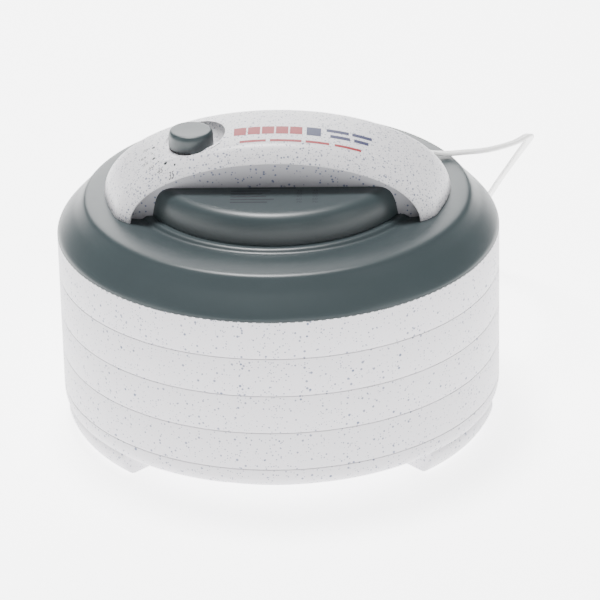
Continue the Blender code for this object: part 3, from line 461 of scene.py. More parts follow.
markInk = {
    "dark": mouldedPlastic("darkInk", (0.010, 0.012, 0.016), 0.5),
    "red": mouldedPlastic("redInk", (0.24, 0.002, 0.010), 0.45),
    "navy": mouldedPlastic("navyInk", (0.008, 0.012, 0.06), 0.45),
}
print("finishes ready")


# power cord: flat twin flex over the lid, down behind the stack, then wound and tied

cord = {
    "width": 0.0064,
    "thickness": 0.0032,
    "length": 1.8,
    "exit": (0.1180, 0.0360, 0.1988),
    "route": [              # strain relief, over the lid, off its edge and down behind the stack
        (0.1180, 0.0366, 0.1988), (0.1182, 0.0440, 0.1975), (0.1225, 0.0530, 0.1925), (0.1325, 0.0590, 0.1893),
        (0.1450, 0.0620, 0.1890), (0.1600, 0.0660, 0.1885), (0.1735, 0.0780, 0.1860), (0.1865, 0.1030, 0.1790),
        (0.1965, 0.1370, 0.1690), (0.1990, 0.1660, 0.1540), (0.1905, 0.1930, 0.1280), (0.1760, 0.2150, 0.0950),
        (0.1600, 0.2370, 0.0580), (0.1430, 0.2590, 0.0260), (0.1240, 0.2775, 0.0085), (0.1030, 0.2895, 0.0050),
        (0.0820, 0.2925, 0.0050), (0.0640, 0.2924, 0.0050),
    ],
    "tail": [               # from the coil's top layer to the plug
        (0.0500, 0.2068, 0.0106), (0.0610, 0.2003, 0.0096), (0.0715, 0.1955, 0.0082),
        (0.0785, 0.1931, 0.0072), (0.0835, 0.1924, 0.0070),
    ],
    "coilCentre": (0.0600, 0.2500),
    "turnRadii": [0.0424, 0.0360, 0.0296, 0.0296, 0.0360, 0.0424],
    "layers": [0.0047, 0.0047, 0.0047, 0.0111, 0.0111, 0.0111],
    "coilStart": 90.0,      # degrees
    "coilSweep": 1950.0,
    "coilStep": 12.0,
}


def smoothThrough(points, spacing):
    # evenly spaced points along a Catmull-Rom curve
    points = [Vector(point) for point in points]
    ends = [points[0] * 2 - points[1]] + points + [points[-1] * 2 - points[-2]]
    fine = []
    for before, start, stop, after in zip(ends, ends[1:], ends[2:], ends[3:]):
        for step in range(24):
            t = step / 24
            fine.append(0.5 * (2 * start + (stop - before) * t
                               + (2 * before - 5 * start + 4 * stop - after) * t ** 2
                               + (3 * start - before - 3 * stop + after) * t ** 3))
    fine.append(points[-1])
    route, walked = [fine[0]], 0.0
    for before, here in zip(fine, fine[1:]):
        walked += (here - before).length
        if walked >= spacing:
            route.append(here)
            walked = 0.0
    route[-1] = fine[-1]
    return route


def coilPoint(turned):
    # each turn keeps its radius for three quarters, then steps over beside or on top of the last
    turn = min(int(turned // 360.0), len(cord["turnRadii"]) - 1)
    following = min(turn + 1, len(cord["turnRadii"]) - 1)
    late = max(0.0, (turned / 360.0 - turn - 0.75) / 0.25)
    late = late * late * (3.0 - 2.0 * late)
    radius = cord["turnRadii"][turn] * (1 - late) + cord["turnRadii"][following] * late
    height = cord["layers"][turn] * (1 - late) + cord["layers"][following] * late
    angle = math.radians(cord["coilStart"] + turned)
    return (cord["coilCentre"][0] + radius * math.cos(angle),
            cord["coilCentre"][1] + radius * math.sin(angle), height)


def cordPath():
    count = int(cord["coilSweep"] / cord["coilStep"])
    coil = [coilPoint(cord["coilStep"] * step) for step in range(2, count + 1)]
    free = smoothThrough(cord["route"], 0.0045)
    wound = smoothThrough([cord["route"][-1]] + coil + cord["tail"], 0.0045)
    onEdge = [max(0.0, 1.0 - (len(free) - i) / 8.0) for i in range(len(free))]
    onEdge += [min(1.0, max(0.0, (len(wound) - 4 - i) / 8.0)) for i in range(1, len(wound))]
    return free + wound[1:], onEdge


def makeCord():
    path, onEdge = cordPath()
    deselectAll()
    bpy.ops.curve.primitive_bezier_circle_add(radius=cord["thickness"] / 2)
    section = bpy.context.object
    sides = section.data.splines
    sides.remove(sides[0])
    edge = sides.new("POLY")
    soft = cord["thickness"] / 2
    outline = []
    for side in (1, -1):
        for step in range(-4, 5):
            angle = math.radians(26.0 * step)
            outline.append((side * (soft + soft * math.cos(angle)), side * soft * math.sin(angle)))
    edge.points.add(len(outline) - 1)
    for point, (x, y) in zip(edge.points, outline):
        point.co = (x, y, 0.0, 1.0)
    edge.use_cyclic_u = True
    line = bpy.data.curves.new("power_cord_flex", "CURVE")
    line.dimensions = "3D"
    line.twist_mode = "Z_UP"
    line.bevel_mode = "OBJECT"
    line.bevel_object = section
    line.use_fill_caps = True
    spline = line.splines.new("POLY")
    spline.points.add(len(path) - 1)
    for point, spot, edgewise in zip(spline.points, path, onEdge):
        point.co = (*spot, 1.0)
        point.tilt = math.radians(90.0) * edgewise
    piece = bpy.data.objects.new("power_cord_flex", line)
    bpy.context.collection.objects.link(piece)
    makeActive(piece)
    bpy.ops.object.convert(target="MESH")
    piece = bpy.context.object
    bpy.data.objects.remove(section, do_unlink=True)
    makeActive(piece)
    editAll()
    bpy.ops.mesh.remove_doubles(threshold=0.00001)
    leaveEdit()
    settle(piece, 60.0)
    place(piece, "power_head", "cord_plastic", cordPlastic, "power_cord", "cord_coil")
    return piece, path


flex, flexPath = makeCord()


plug = {
    "low": 0.0005,
    "height": 0.0130,
    "length": 0.0300,
    "width": 0.0230,
    "x": 0.0820,
    "y": 0.1924,
    "neck": 0.62,           # width at the cord's end against the widest
    "bladeOffset": 0.00635,
    "bladeLength": 0.0167,
    "bladeHole": 0.0016,
}


def makePlug():
    middle = plug["low"] + plug["height"] / 2
    x, y = plug["x"], plug["y"]
    half = plug["width"] / 2
    body = block("plug_moulding", (x, y - half, plug["low"]),
                 (x + plug["length"], y + half, plug["low"] + plug["height"]))
    makeActive(body)
    bpy.ops.object.mode_set(mode="EDIT")
    bpy.ops.mesh.select_all(action="DESELECT")
    bpy.ops.object.mode_set(mode="OBJECT")
    for vertex in body.data.vertices:
        vertex.select = vertex.co.x < x + 0.001
    bpy.ops.object.mode_set(mode="EDIT")
    bpy.ops.transform.resize(value=(1.0, plug["neck"], 0.72), center_override=(x, y, middle))
    bpy.ops.mesh.select_all(action="SELECT")
    bpy.ops.mesh.bevel(offset=0.0032, segments=5)
    bpy.ops.object.mode_set(mode="OBJECT")
    for step in range(4):   # finger grips across the back half
        at = x + 0.0065 + 0.0030 * step
        for side in (-1, 1):
            groove = block("grip", (at, y - 0.020, middle + side * 0.0062 - 0.0012),
                           (at + 0.0014, y + 0.020, middle + side * 0.0062 + 0.0012), 0.0005)
            carve(body, groove)
    settle(body, 40.0)
    place(body, "power_head", "cord_plastic", cordPlastic, "plug_body")
    blades = []
    start = x + plug["length"] + 0.0003
    for name, side in (("left", -1), ("right", 1)):
        offset = y + side * plug["bladeOffset"]
        blade = block("plug_prong_" + name, (start, offset - 0.00075, middle - 0.00315),
                      (start + plug["bladeLength"], offset + 0.00075, middle + 0.00315), 0.0005, 3)
        hole = rod("hole", plug["bladeHole"], -0.004, 0.004, vertices=24)
        hole.rotation_euler = (math.radians(90.0), 0.0, 0.0)
        hole.location = (start + plug["bladeLength"] - 0.0045, offset, middle)
        carve(blade, hole)
        settle(blade)
        place(blade, "power_head", "brass", plainBrass, "plug_blade_" + name)
        blades.append(blade)
    return [body] + blades


plugPieces = makePlug()


twistTie = {
    "outer": 0.0463,        # from the coil's middle to the band's two inner faces
    "inner": 0.0257,
    "low": 0.0011,
    "high": 0.0150,
    "band": 0.0008,
    "halfWidth": 0.0030,
}


def makeTie():
    low, high, band, half = (twistTie[key] for key in ("low", "high", "band", "halfWidth"))
    near = cord["coilCentre"][0] - twistTie["outer"]
    far = cord["coilCentre"][0] - twistTie["inner"]
    y = cord["coilCentre"][1]
    tie = block("cord_twist_tie", (near - band, y - half, low - band), (far + band, y + half, high + band),
                0.0007, 3)
    carve(tie, block("inside", (near, y - 0.010, low), (far, y + 0.010, high), 0.0006, 3))
    for side in (-1, 1):    # the two twisted ends
        tail = block("tail", (far + band - 0.0012, y - 0.0012 + side * 0.0014, high - 0.0035),
                     (far + band + 0.0002, y + 0.0012 + side * 0.0014, high + band + 0.0004), 0.0004)
        carve(tie, tail, "UNION")
    settle(tie)
    place(tie, "power_head", "black_plastic", blackPlastic, "cord_tie")
    return tie


tie = makeTie()

gland = {
    "at": (0.1180, 0.0120, 0.1988),
    "ribs": 5,
    "length": 0.0240,
}


def makeStrainRelief():
    outline = [(0.0, -0.0053), (0.0056, -0.0053), (0.0056, -0.0033), (0.0040, -0.0030), (0.0040, 0.0002),
               (0.0054, 0.0003), (0.0058, 0.0007), (0.0058, 0.0022), (0.0053, 0.0028)]
    for rib in range(gland["ribs"]):    # soft rings that let it bend, finer towards the tip
        start = 0.0032 + rib * 0.0036
        radius = 0.0046 - 0.0019 * start / gland["length"]
        outline += [(radius, start), (radius, start + 0.0022), (radius - 0.0009, start + 0.0026),
                    (radius - 0.0009, start + 0.0032)]
    outline += [(0.0030, 0.0218), (0.0028, 0.0236), (0.0024, gland["length"]), (0.0, gland["length"])]
    piece = lathe("cord_strain_relief", outline, 40, ring=False)
    makeActive(piece)
    piece.rotation_euler = (math.radians(-90.0), 0.0, 0.0)
    piece.location = gland["at"]
    settle(piece, 40.0)
    place(piece, "power_head", "cord_plastic", cordPlastic, "strain_relief")
    return piece


relief = makeStrainRelief()
print("cord and plug made")


# base and trays

tray = {
    "wall": 0.0025,
    "edge": 0.0006,         # rounding of the outer edges, which makes the seams
    "spigotOuter": stack["radius"] - 0.0030,
    "spigotInner": stack["radius"] - 0.0050,
    "spigotDepth": 0.0040,
    "floorRise": 0.0080,
    "floorThickness": 0.0020,
    "core": 0.0400,
    "sides": 180,
    "rings": [0.0480, 0.0620, 0.0650, 0.0830, 0.0860, 0.1080, 0.1110, 0.1340, 0.1480, 0.1640],
    "openRings": [0, 2, 4, 6, 8],   # which stretches between the rings are slotted
}


def trayFloor(height):
    # a disc of rings whose faces are knocked out in a spoked pattern, then given its thickness
    sides = tray["sides"]
    radii = [tray["core"] + 0.0010] + tray["rings"] + [tray["spigotInner"] + 0.0008]
    deselectAll()
    bpy.ops.mesh.primitive_circle_add(vertices=sides, radius=radii[0], location=(0.0, 0.0, height))
    piece = bpy.context.object
    editAll()
    for inner, outer in zip(radii, radii[1:]):
        bpy.ops.mesh.extrude_edges_move(TRANSFORM_OT_translate={"value": (0.0, 0.0, 0.0)})
        share = outer / inner
        bpy.ops.transform.resize(value=(share, share, 1.0), center_override=(0.0, 0.0, height))
    bpy.ops.mesh.select_all(action="DESELECT")
    bpy.ops.object.mode_set(mode="OBJECT")
    for face in piece.data.polygons:
        across = face.center.xy.length
        ring = sum(across > radius for radius in tray["rings"]) - 1
        spoke = int(math.degrees(math.atan2(face.center.y, face.center.x)) % 360.0 / (360.0 / sides))
        if ring == 8:       # the long ducts round the edge
            face.select = spoke % 20 > 0
        elif ring in tray["openRings"]:
            face.select = spoke % 3 > 0 if ring > 2 else spoke % 6 > 1
    bpy.ops.object.mode_set(mode="EDIT")
    bpy.ops.mesh.delete(type="FACE")
    bpy.ops.object.mode_set(mode="OBJECT")
    thick = piece.modifiers.new("thickness", "SOLIDIFY")
    thick.thickness = tray["floorThickness"]
    thick.offset = 1.0
    applyModifiers(piece)
    makeActive(piece)
    editAll()
    bpy.ops.mesh.normals_make_consistent(inside=False)
    bpy.ops.object.mode_set(mode="OBJECT")
    return piece


def makeTray(seam):
    radius, inner = stack["radius"], stack["radius"] - tray["wall"]
    top, low = seam + stack["pitch"], seam + tray["floorRise"]
    high = low + tray["floorThickness"]
    soft = tray["edge"]
    wall = lathe("tray", softOutline([
        (radius, top, soft), (radius, seam + stack["gap"], soft * 0.7),
        (tray["spigotOuter"], seam + stack["gap"], 0.0004),
        (tray["spigotOuter"], seam - tray["spigotDepth"], 0.0006),
        (tray["spigotInner"], seam - tray["spigotDepth"], 0.0006), (tray["spigotInner"], low, 0.0),
        (tray["spigotInner"] - 0.0010, low, 0.0), (tray["spigotInner"] - 0.0010, high, 0.0),
        (inner, high, 0.0012), (inner, top, soft * 1.5)]), tray["sides"])
    collar = lathe("collar", softOutline([
        (tray["core"], low, 0.0006), (tray["core"], high, 0.0009), (tray["core"] + 0.0024, high, 0.0009),
        (tray["core"] + 0.0024, low, 0.0006)]), 96)
    floor = trayFloor(low)
    piece = joinPieces([wall, collar, floor], "drying_tray")
    return settle(piece, 40.0)


def makeTrays():
    first = makeTray(stack["baseTop"])
    trays = [first]
    for level in range(1, 4):
        deselectAll()
        first.select_set(True)
        bpy.context.view_layer.objects.active = first
        bpy.ops.object.duplicate()
        another = bpy.context.object
        another.location = (0.0, 0.0, stack["pitch"] * level)
        trays.append(settle(another, 40.0))
    for piece, number in zip(trays, (4, 3, 2, 1)):
        piece.name = f"drying_tray_{number}"
        place(piece, f"tray_{number}", "speckled_plastic", trayPlastic, f"tray_{number}",
              f"tray_{number}_floor")


makeTrays()
print("trays made")

base = {
    "skirt": 0.0170,        # floor to the skirt's lower edge
    "pan": 0.0200,          # floor to the pan's underside
    "footAngle": 61.0,      # degrees from the front or back line to a foot's middle
    "footWidth": 34.0,
    "notchWidth": 0.0750,
    "notchDepth": 0.0030,
    "footRound": 0.0030,
}


def makeFoot(angle):
    radius = stack["radius"]
    foot = lathe("foot", softOutline([
        (radius - 0.0300, base["pan"] + 0.0010, 0.0), (radius - 0.0026, base["pan"] + 0.0010, 0.0),
        (radius - 0.0015, 0.0170, 0.004), (radius - 0.0030, 0.0098, 0.005), (radius - 0.0072, 0.0030, 0.004),
        (radius - 0.0115, 0.0, 0.0020), (radius - 0.0300, 0.0, 0.0012)]), 144)
    makeActive(foot)
    bpy.ops.object.mode_set(mode="EDIT")
    for side in (-1, 1):
        edge = math.radians(angle + side * base["footWidth"] / 2)
        bpy.ops.mesh.select_all(action="SELECT")
        bpy.ops.mesh.bisect(plane_co=(0.0, 0.0, 0.0), use_fill=True, clear_outer=True,
                            plane_no=(-side * math.sin(edge), side * math.cos(edge), 0.0))
    leaveEdit()
    ends = foot.modifiers.new("rounded ends", "BEVEL")
    ends.width = base["footRound"]
    ends.segments = 4
    ends.limit_method = "ANGLE"
    ends.angle_limit = math.radians(50.0)
    applyModifiers(foot)
    return foot


def makeBase():
    radius, inner = stack["radius"], stack["radius"] - tray["wall"]
    skirt, pan = base["skirt"], base["pan"]
    rib = radius - 0.0210
    body = lathe("base_tub", softOutline([
        (0.0, pan + 0.0025, 0.0), (inner, pan + 0.0025, 0.0020), (inner, stack["baseTop"], 0.0008),
        (radius, stack["baseTop"], tray["edge"]), (radius, skirt + 0.0085, 0.006),
        (radius - 0.0022, skirt + 0.0030, 0.004), (radius - 0.0066, skirt, 0.002),
        (radius - 0.0105, skirt, 0.0010),
        (radius - 0.0105, pan, 0.0010), (rib, pan, 0.0), (rib, skirt - 0.0080, 0.0006),
        (rib - 0.0020, skirt - 0.0080, 0.0006), (rib - 0.0020, pan, 0.0), (0.0, pan, 0.0)], ring=False),
        192, ring=False)
    notch = block("notch", (-base["notchWidth"] / 2, -radius - 0.010, skirt - 0.010),
                  (base["notchWidth"] / 2, -radius + 0.016, skirt + base["notchDepth"] - stack["gap"]), 0.0008)
    carve(body, notch)
    for angle in (-90.0 - base["footAngle"], -90.0 + base["footAngle"], 90.0 - base["footAngle"],
                  90.0 + base["footAngle"]):
        carve(body, makeFoot(angle), "UNION")
    settle(body, 32.0)
    place(body, "base", "speckled_plastic", trayPlastic, "base_pan")


makeBase()
print("base made")


# powered head

lid = {
    "shoulder": stack["shoulder"],
    "ringTop": stack["ringTop"],
    "ringInner": stack["coverRadius"] - 0.0075,
    "ringOuter": stack["coverRadius"] + 0.0075,
    "wall": 0.0030,
    "crown": [              # out from the ring and down from the shoulder
        (0.0012, -0.0008), (0.0090, -0.0002), (0.0175, 0.0), (0.0260, -0.0003), (0.0330, -0.0010),
        (0.0358, -0.0020), (0.0376, -0.0038), (0.0400, -0.0068), (0.0440, -0.0116), (0.0492, -0.0170),
        (0.0536, -0.0218), (0.0566, -0.0256), (0.0578, -0.0282), (0.0580, -0.0296),
    ],
}


def crownLine(inset=0.0):
    points = smoothThrough([(lid["ringOuter"] + out, down, 0.0) for out, down in lid["crown"]], 0.0010)
    line = []
    for i, point in enumerate(points):
        ahead, behind = points[min(i + 1, len(points) - 1)], points[max(i - 1, 0)]
        along = (ahead - behind).normalized()
        line.append((point.x + along.y * inset, lid["shoulder"] + point.y - along.x * inset))
    return line


def makeLid():
    radius, top, shoulder = stack["radius"], lid["ringTop"], lid["shoulder"]
    seam = stack["trayTop"] + stack["gap"]
    inner = [(across, height) for across, height in crownLine(lid["wall"])
             if across < radius - 0.0052 and height < shoulder - 0.0031]
    step = softOutline([(lid["ringInner"], top, 0.0004), (lid["ringOuter"] - 0.0030, top, 0.0016),
                        (lid["ringOuter"] - 0.0006, shoulder - 0.0004, 0.0010),
                        (lid["ringOuter"] + 0.0012, shoulder - 0.0008, 0.0)], ring=False)
    step[0] = (lid["ringInner"], top)
    tip = seam - tray["spigotDepth"] - stack["gap"]
    low = softOutline([(radius, shoulder - 0.0296, 0.0), (radius, seam, 0.0007),
                       (tray["spigotOuter"], seam, 0.0003), (tray["spigotOuter"], tip, 0.0006),
                       (tray["spigotInner"], tip, 0.0006),
                       (tray["spigotInner"], shoulder - 0.0270, 0.0)], ring=False)
    outline = step + crownLine()[1:-1] + low + inner[::-1] + [(lid["ringInner"], shoulder - 0.0042)]
    shell = lathe("head_lid", outline, 192)
    place(shell, "power_head", "slate_plastic", slatePlastic, "lid_shell")


makeLid()

cover = {
    "radius": stack["coverRadius"],
    "top": stack["coverTop"],
    "foot": stack["ringTop"] + stack["gap"],
    "wall": 0.0025,
    "slots": 7,
    "slotStep": 7.0,        # degrees
    "slotWidth": 0.0058,
}


def coverLine(grow=0.0):
    radius, top = cover["radius"] + grow, cover["top"] + grow
    return softOutline([(0.0, top, 0.0), (radius - 0.0100, top - 0.0003, 0.0034),
                        (radius - 0.0052, top - 0.0034, 0.0030),
                        (radius - 0.0020, top - 0.0100, 0.0050),
                        (radius, cover["foot"] + (0.0004 if grow == 0 else -0.004), 0.0)], ring=False, steps=6)


def makeCover():
    outer = coverLine()
    inner = coverLine(-cover["wall"])
    inner = [(across, height) for across, height in inner if height > cover["foot"]]
    rim = [(cover["radius"], cover["foot"]), (cover["radius"] - cover["wall"], cover["foot"])]
    shell = lathe("motor_cover_dome", outer + rim + inner[::-1], 192, ring=False)
    for i in range(cover["slots"]):
        angle = math.radians((i - (cover["slots"] - 1) / 2) * cover["slotStep"])
        slot = block("slot", (-cover["slotWidth"] / 2, cover["radius"] - 0.020, cover["foot"] + 0.0040),
                     (cover["slotWidth"] / 2, cover["radius"] + 0.010, cover["top"] - 0.0075), 0.0026, 4)
        slot.rotation_euler = (0.0, 0.0, angle)
        carve(shell, slot)
    settle(shell, 32.0)
    place(shell, "power_head", "slate_plastic", slatePlastic, "motor_cover")


makeCover()
print("lid and motor cover made")

handle = {
    "base": stack["shoulder"] - 0.0008,
    "halfSpan": 0.1340,
    "rise": 0.0650,
    "foot": 0.0240,         # how deep the arch is at its feet, and at its top
    "lip": 0.0160,
    "front": -0.0600,
    "back": 0.0120,
    "skin": [               # under the top, towards the back, rounding: from the lip over the top to the back
        (0.0160, -0.0585, 0.0012), (0.0152, -0.0600, 0.0016), (0.0085, -0.0568, 0.0060),
        (0.0026, -0.0500, 0.0040), (0.0008, -0.0300, 0.0150), (0.0, -0.0080, 0.0080),
        (0.0002, 0.0085, 0.0050), (0.0030, 0.0120, 0.0040),
    ],
    "taper": 0.0125,        # how much narrower the arch's front edge is, each side
    "taperStart": 0.0020,
    "flange": 0.0130,
    "shell": 0.0040,
    "sides": 160,
    "panelThickness": 0.0022,
    "frontPanel": -0.0500,
    "rearPanel": -0.0002,
}


def archReach(depth, along):
    # half-span and rise of the arch's loop at a depth under its top, tapering towards the front
    share = depth / handle["lip"]
    forward = max(0.0, handle["taperStart"] - along) / (handle["taperStart"] - handle["front"])
    half = handle["halfSpan"] - handle["foot"] * share - handle["taper"] * forward ** 1.6 * (1.0 - share)
    return half, handle["rise"] - depth


def archRing(name, outline):
    # loops of an ellipse drawn round the outline, cut off flat at the feet and sunk into the lid
    points = outline + [outline[0]]
    deselectAll()
    bpy.ops.mesh.primitive_circle_add(vertices=handle["sides"], radius=1.0, fill_type="NOTHING")
    piece = bpy.context.object
    piece.name = name
    piece.rotation_euler = (math.radians(90.0), 0.0, 0.0)
    half, rise = archReach(*points[0])
    piece.scale = (half, rise, 1.0)
    piece.location = (0.0, points[0][1], handle["base"])
    bpy.ops.object.transform_apply(location=True, rotation=True, scale=True)
    editAll()
    for old, new in zip(points, points[1:]):
        bpy.ops.mesh.extrude_edges_move(TRANSFORM_OT_translate={"value": (0.0, new[1] - old[1], 0.0)})
        (oldHalf, oldRise), (half, rise) = archReach(*old), archReach(*new)
        bpy.ops.transform.resize(value=(half / oldHalf, 1.0, rise / oldRise),
                                 center_override=(0.0, new[1], handle["base"]))
    bpy.ops.mesh.select_all(action="SELECT")
    bpy.ops.mesh.remove_doubles(threshold=0.000002)
    bpy.ops.mesh.normals_make_consistent(inside=False)
    bpy.ops.mesh.bisect(plane_co=(0.0, 0.0, handle["base"]), plane_no=(0.0, 0.0, -1.0), use_fill=True,
                        clear_outer=True)
    bpy.ops.mesh.select_all(action="DESELECT")
    bpy.ops.object.mode_set(mode="OBJECT")
    for face in piece.data.polygons:
        face.select = face.normal.z < -0.99 and abs(face.center.z - handle["base"]) < 0.0001
    bpy.ops.object.mode_set(mode="EDIT")
    bpy.ops.mesh.extrude_region_move(TRANSFORM_OT_translate={"value": (0.0, 0.0, -0.0030)})
    leaveEdit()
    return piece


dish = {
    "x": -0.0640,
    "y": -0.0250,
    "radius": 0.0260,
    "floor": 0.2348,
    "cup": 0.0285,
    "cupLow": 0.2318,
}


def makeHandle():
    front, back, lip, flange, shell = (handle[key] for key in ("front", "back", "lip", "flange", "shell"))
    outer = softOutline(handle["skin"] + [(lip, back, 0.0015)], ring=False, steps=6)
    inner = softOutline([(lip, back - 0.0020, 0.0), (lip, back - flange, 0.0006), (shell, back - flange, 0.0020),
                         (shell, front + flange, 0.0020), (lip, front + flange, 0.0006)], ring=False)
    arch = archRing("carry_handle", outer + inner)
    cup = rod("cup", dish["cup"], dish["cupLow"], handle["base"] + handle["rise"], (dish["x"], dish["y"]), 72)
    filled = archRing("filled", [(0.0016, front + 0.012), (0.0008, back - 0.004), (lip, back - 0.001),
                                 (lip, front + 0.001)])
    carve(cup, filled, "INTERSECT")
    carve(arch, cup, "UNION")
    radius, floor = dish["radius"], dish["floor"]
    bowl = lathe("bowl", softOutline([
        (0.0, floor, 0.0), (radius - 0.0045, floor, 0.0035), (radius, floor + 0.0060, 0.0030),
        (radius + 0.0012, floor + 0.0300, 0.0), (0.0, floor + 0.0300, 0.0)], ring=False), 96, ring=False,
        centre=(dish["x"], dish["y"]))
    carve(arch, bowl)
    carve(arch, rod("neck", 0.0046, floor - 0.006, floor + 0.001, (dish["x"], dish["y"])))
    opening = rod("opening", 0.0044, -0.008, 0.008, vertices=32)
    opening.rotation_euler = (math.radians(90.0), 0.0, 0.0)
    opening.location = gland["at"]
    carve(arch, opening)
    settle(arch, 32.0)
    place(arch, "power_head", "speckled_plastic", handlePlastic, "handle_shell")


def makePanel(name, node, front):
    deselectAll()
    bpy.ops.mesh.primitive_cylinder_add(vertices=160, radius=1.0, depth=1.0)
    panel = bpy.context.object
    panel.name = name
    panel.rotation_euler = (math.radians(90.0), 0.0, 0.0)
    panel.scale = (handle["halfSpan"] - handle["foot"] + 0.0030, handle["rise"] - handle["lip"] + 0.0020,
                   handle["panelThickness"])
    panel.location = (0.0, front + handle["panelThickness"] / 2, handle["base"])
    bpy.ops.object.transform_apply(location=True, rotation=True, scale=True)
    editAll()
    bpy.ops.mesh.bisect(plane_co=(0.0, 0.0, stack["ringTop"] - 0.004), plane_no=(0.0, 0.0, -1.0), use_fill=True,
                        clear_outer=True)
    bpy.ops.object.mode_set(mode="OBJECT")
    inside = coverLine(-0.0008)
    carve(panel, lathe("inside", inside + [(cover["radius"] - 0.0008, stack["ringTop"] - 0.0008),
                                           (cover["radius"] + 0.004, stack["ringTop"] - 0.0008),
                                           (cover["radius"] + 0.004, stack["ringTop"] - 0.02),
                                           (0.0, stack["ringTop"] - 0.02)], 144, ring=False))
    settle(panel, 32.0)
    # the wall takes the darkened plastic, painted shade for the shade under the arch's lip
    place(panel, "power_head", "speckled_plastic", shadeDarkenedWallPlastic, node)


makeHandle()
makePanel("handle_front_wall", "handle_front_panel", handle["frontPanel"])
makePanel("handle_rear_wall", "handle_rear_panel", handle["rearPanel"])
print("handle made")

knob = {
    "radius": 0.0172,
    "low": 0.2365,
    "top": 0.2493,
    "socket": 0.0033,
}


def makeKnob():
    radius, low, top = knob["radius"], knob["low"], knob["top"]
    cap = lathe("thermostat_dial", softOutline([
        (0.0, top - 0.0003, 0.0), (radius - 0.0065, top - 0.0001, 0.003), (radius - 0.0016, top, 0.0014),
        (radius - 0.0002, top - 0.0030, 0.0012), (radius, low, 0.0005), (radius - 0.0020, low, 0.0004),
        (radius - 0.0020, top - 0.0030, 0.0008), (0.0055, top - 0.0030, 0.0006), (0.0055, low + 0.0035, 0.0004),
        (knob["socket"], low + 0.0035, 0.0), (knob["socket"], top - 0.0035, 0.0), (0.0, top - 0.0035, 0.0)],
        ring=False), 120, ring=False, centre=(dish["x"], dish["y"]))
    place(cap, "knob", "slate_plastic", slatePlastic, "thermostat_knob")


makeKnob()
print("knob made")


# printed marks: plain blocks, numbers and dots laid on the plastic

markStart = 0.30        # marks are made this high, then dropped
markGrid = 0.0015


def inkBar(across, along, width, depth):
    deselectAll()
    bpy.ops.mesh.primitive_grid_add(x_subdivisions=max(1, round(width / markGrid)), size=1.0,
                                    y_subdivisions=max(1, round(depth / markGrid)),
                                    location=(across, along, markStart))
    bar = bpy.context.object
    bar.scale = (width, depth, 1.0)
    return bar


def inkDot(across, along, radius):
    deselectAll()
    bpy.ops.mesh.primitive_circle_add(vertices=20, radius=radius, fill_type="TRIFAN",
                                      location=(across, along, markStart))
    return bpy.context.object


def inkNumber(text, across, along, size):
    deselectAll()
    bpy.ops.object.text_add(location=(across, along, markStart))
    number = bpy.context.object
    number.data.body = text
    number.data.size = size
    number.data.align_x = "CENTER"
    number.data.align_y = "CENTER"
    bpy.ops.object.convert(target="MESH")
    return bpy.context.object


def layMarks(name, pieces, ground, ink):
    # dropped straight down on to the plastic, a hair above it
    for piece in pieces:
        makeActive(piece)
        bpy.ops.object.transform_apply(location=True, rotation=True, scale=True)
    marks = joinPieces(pieces, name)
    wrap = marks.modifiers.new("wrap", "SHRINKWRAP")
    wrap.target = bpy.data.objects[ground]
    wrap.wrap_method = "PROJECT"
    wrap.use_project_z = True
    wrap.use_negative_direction = True
    wrap.use_positive_direction = False
    wrap.offset = 0.00006
    applyModifiers(marks)
    place(marks, "power_head", "black_plastic", markInk[ink])


dialMarks = {
    "settings": ["35", "45", "50", "55", "65", "70"],
    "turns": [248.0, 232.0, 216.0, 200.0, 184.0, 168.0],
    "dotReach": 0.0300,
    "dotRadii": [0.0007, 0.0013],
    "numberReach": 0.0352,
    "numberSize": 0.0044,
}


def makeDialMarks():
    pieces = []
    for i, (setting, turn) in enumerate(zip(dialMarks["settings"], dialMarks["turns"])):
        across, along = math.cos(math.radians(turn)), math.sin(math.radians(turn))
        reach = dialMarks["dotReach"]
        pieces.append(inkDot(dish["x"] + across * reach, dish["y"] + along * reach,
                             dialMarks["dotRadii"][i % 2]))
        reach = dialMarks["numberReach"]
        pieces.append(inkNumber(setting, dish["x"] + across * reach * 1.04, dish["y"] + along * reach,
                                dialMarks["numberSize"]))
    layMarks("dial_numbers", pieces, "carry_handle", "dark")


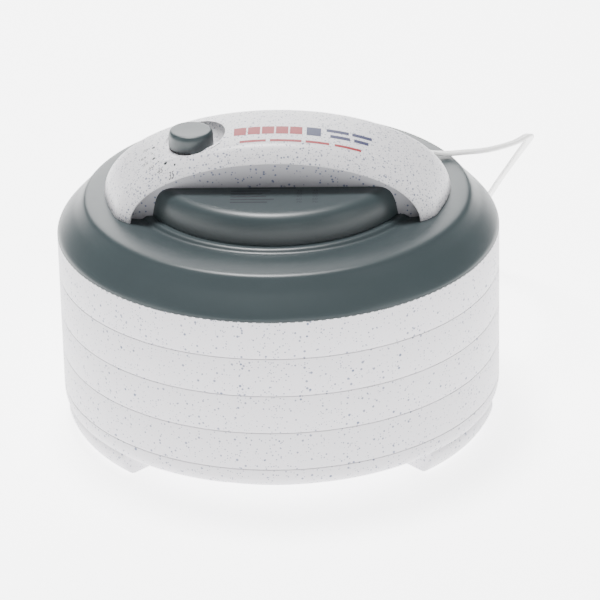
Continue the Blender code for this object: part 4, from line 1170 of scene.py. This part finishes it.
topMarks = {                # plain blocks of colour: across, along, width, depth
    "red": [(-0.0262 + 0.0107 * i, -0.0290, 0.0094, 0.0120) for i in range(5)],
    "redLine": [(-0.0160, -0.0452, 0.0200, 0.0034), (0.0090, -0.0452, 0.0240, 0.0034),
                (0.0330, -0.0452, 0.0180, 0.0034), (0.0560, -0.0452, 0.0200, 0.0034)],
    "navy": [(0.0300, -0.0290, 0.0110, 0.0130)],
    "navyLine": [(0.0480, -0.0245, 0.0170, 0.0046), (0.0665, -0.0245, 0.0150, 0.0046),
                 (0.0500, -0.0330, 0.0150, 0.0046), (0.0660, -0.0330, 0.0110, 0.0046)],
}


def makeTopMarks():
    for ink in ("red", "navy"):
        layMarks(f"{ink}_blocks", [inkBar(*bar) for bar in topMarks[ink] + topMarks[f"{ink}Line"]],
                 "carry_handle", ink)


chart = {
    "left": -0.0330,
    "top": -0.0565,
    "rowStep": 0.0050,
    "lengths": [0.0300, 0.0240, 0.0270, 0.0330, 0.0280],
    "depth": 0.0019,
    "values": ["35", "50", "55", "60", "70"],
    "columns": [0.0190, 0.0310],
    "size": 0.0044,
}


def makeChart():
    pieces = [inkBar(-0.0020, chart["top"] + chart["rowStep"], 0.0360, chart["depth"])]
    for i, (length, value) in enumerate(zip(chart["lengths"], chart["values"])):
        along = chart["top"] - i * chart["rowStep"]
        pieces.append(inkBar(chart["left"] + length / 2, along, length, chart["depth"]))
        for column in chart["columns"]:
            pieces.append(inkNumber(value, column, along, chart["size"]))
    layMarks("guide_chart", pieces, "motor_cover_dome", "dark")


makeDialMarks()
makeTopMarks()
makeChart()
print("marks laid")


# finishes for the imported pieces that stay

keptFinishes = {
    platedSteel: ["thermostat_shaft", "motor_deck", "bearing_bracket", "motor_shaft", "fan_nut", "housing_screw",
                  "deck_screw", "handle_screw", "motor_screw"],
    darkSteel: ["stator_core", "motor_rotor", "heater_wire"],
    blackPlastic: ["thermostat_body"],
    plainBrass: ["thermostat_nut", "thermostat_bimetal", "bushing", "thermal_fuse"],
    nylonPlastic: ["coil_bobbin", "fan_impeller"],
    copperWinding: ["stator_coil"],
    micaBoard: ["heater_support"],
    slatePlastic: ["lower_housing"],
    leadPlastic: ["thermostat_lead", "motor_lead", "heater_lead"],
}


def finishKeptNodes():
    for material, starts in keptFinishes.items():
        for name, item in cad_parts.items():
            if any(name.startswith(start) for start in starts):
                item.data.materials.clear()
                item.data.materials.append(material)


finishKeptNodes()
print("packed pieces finished")
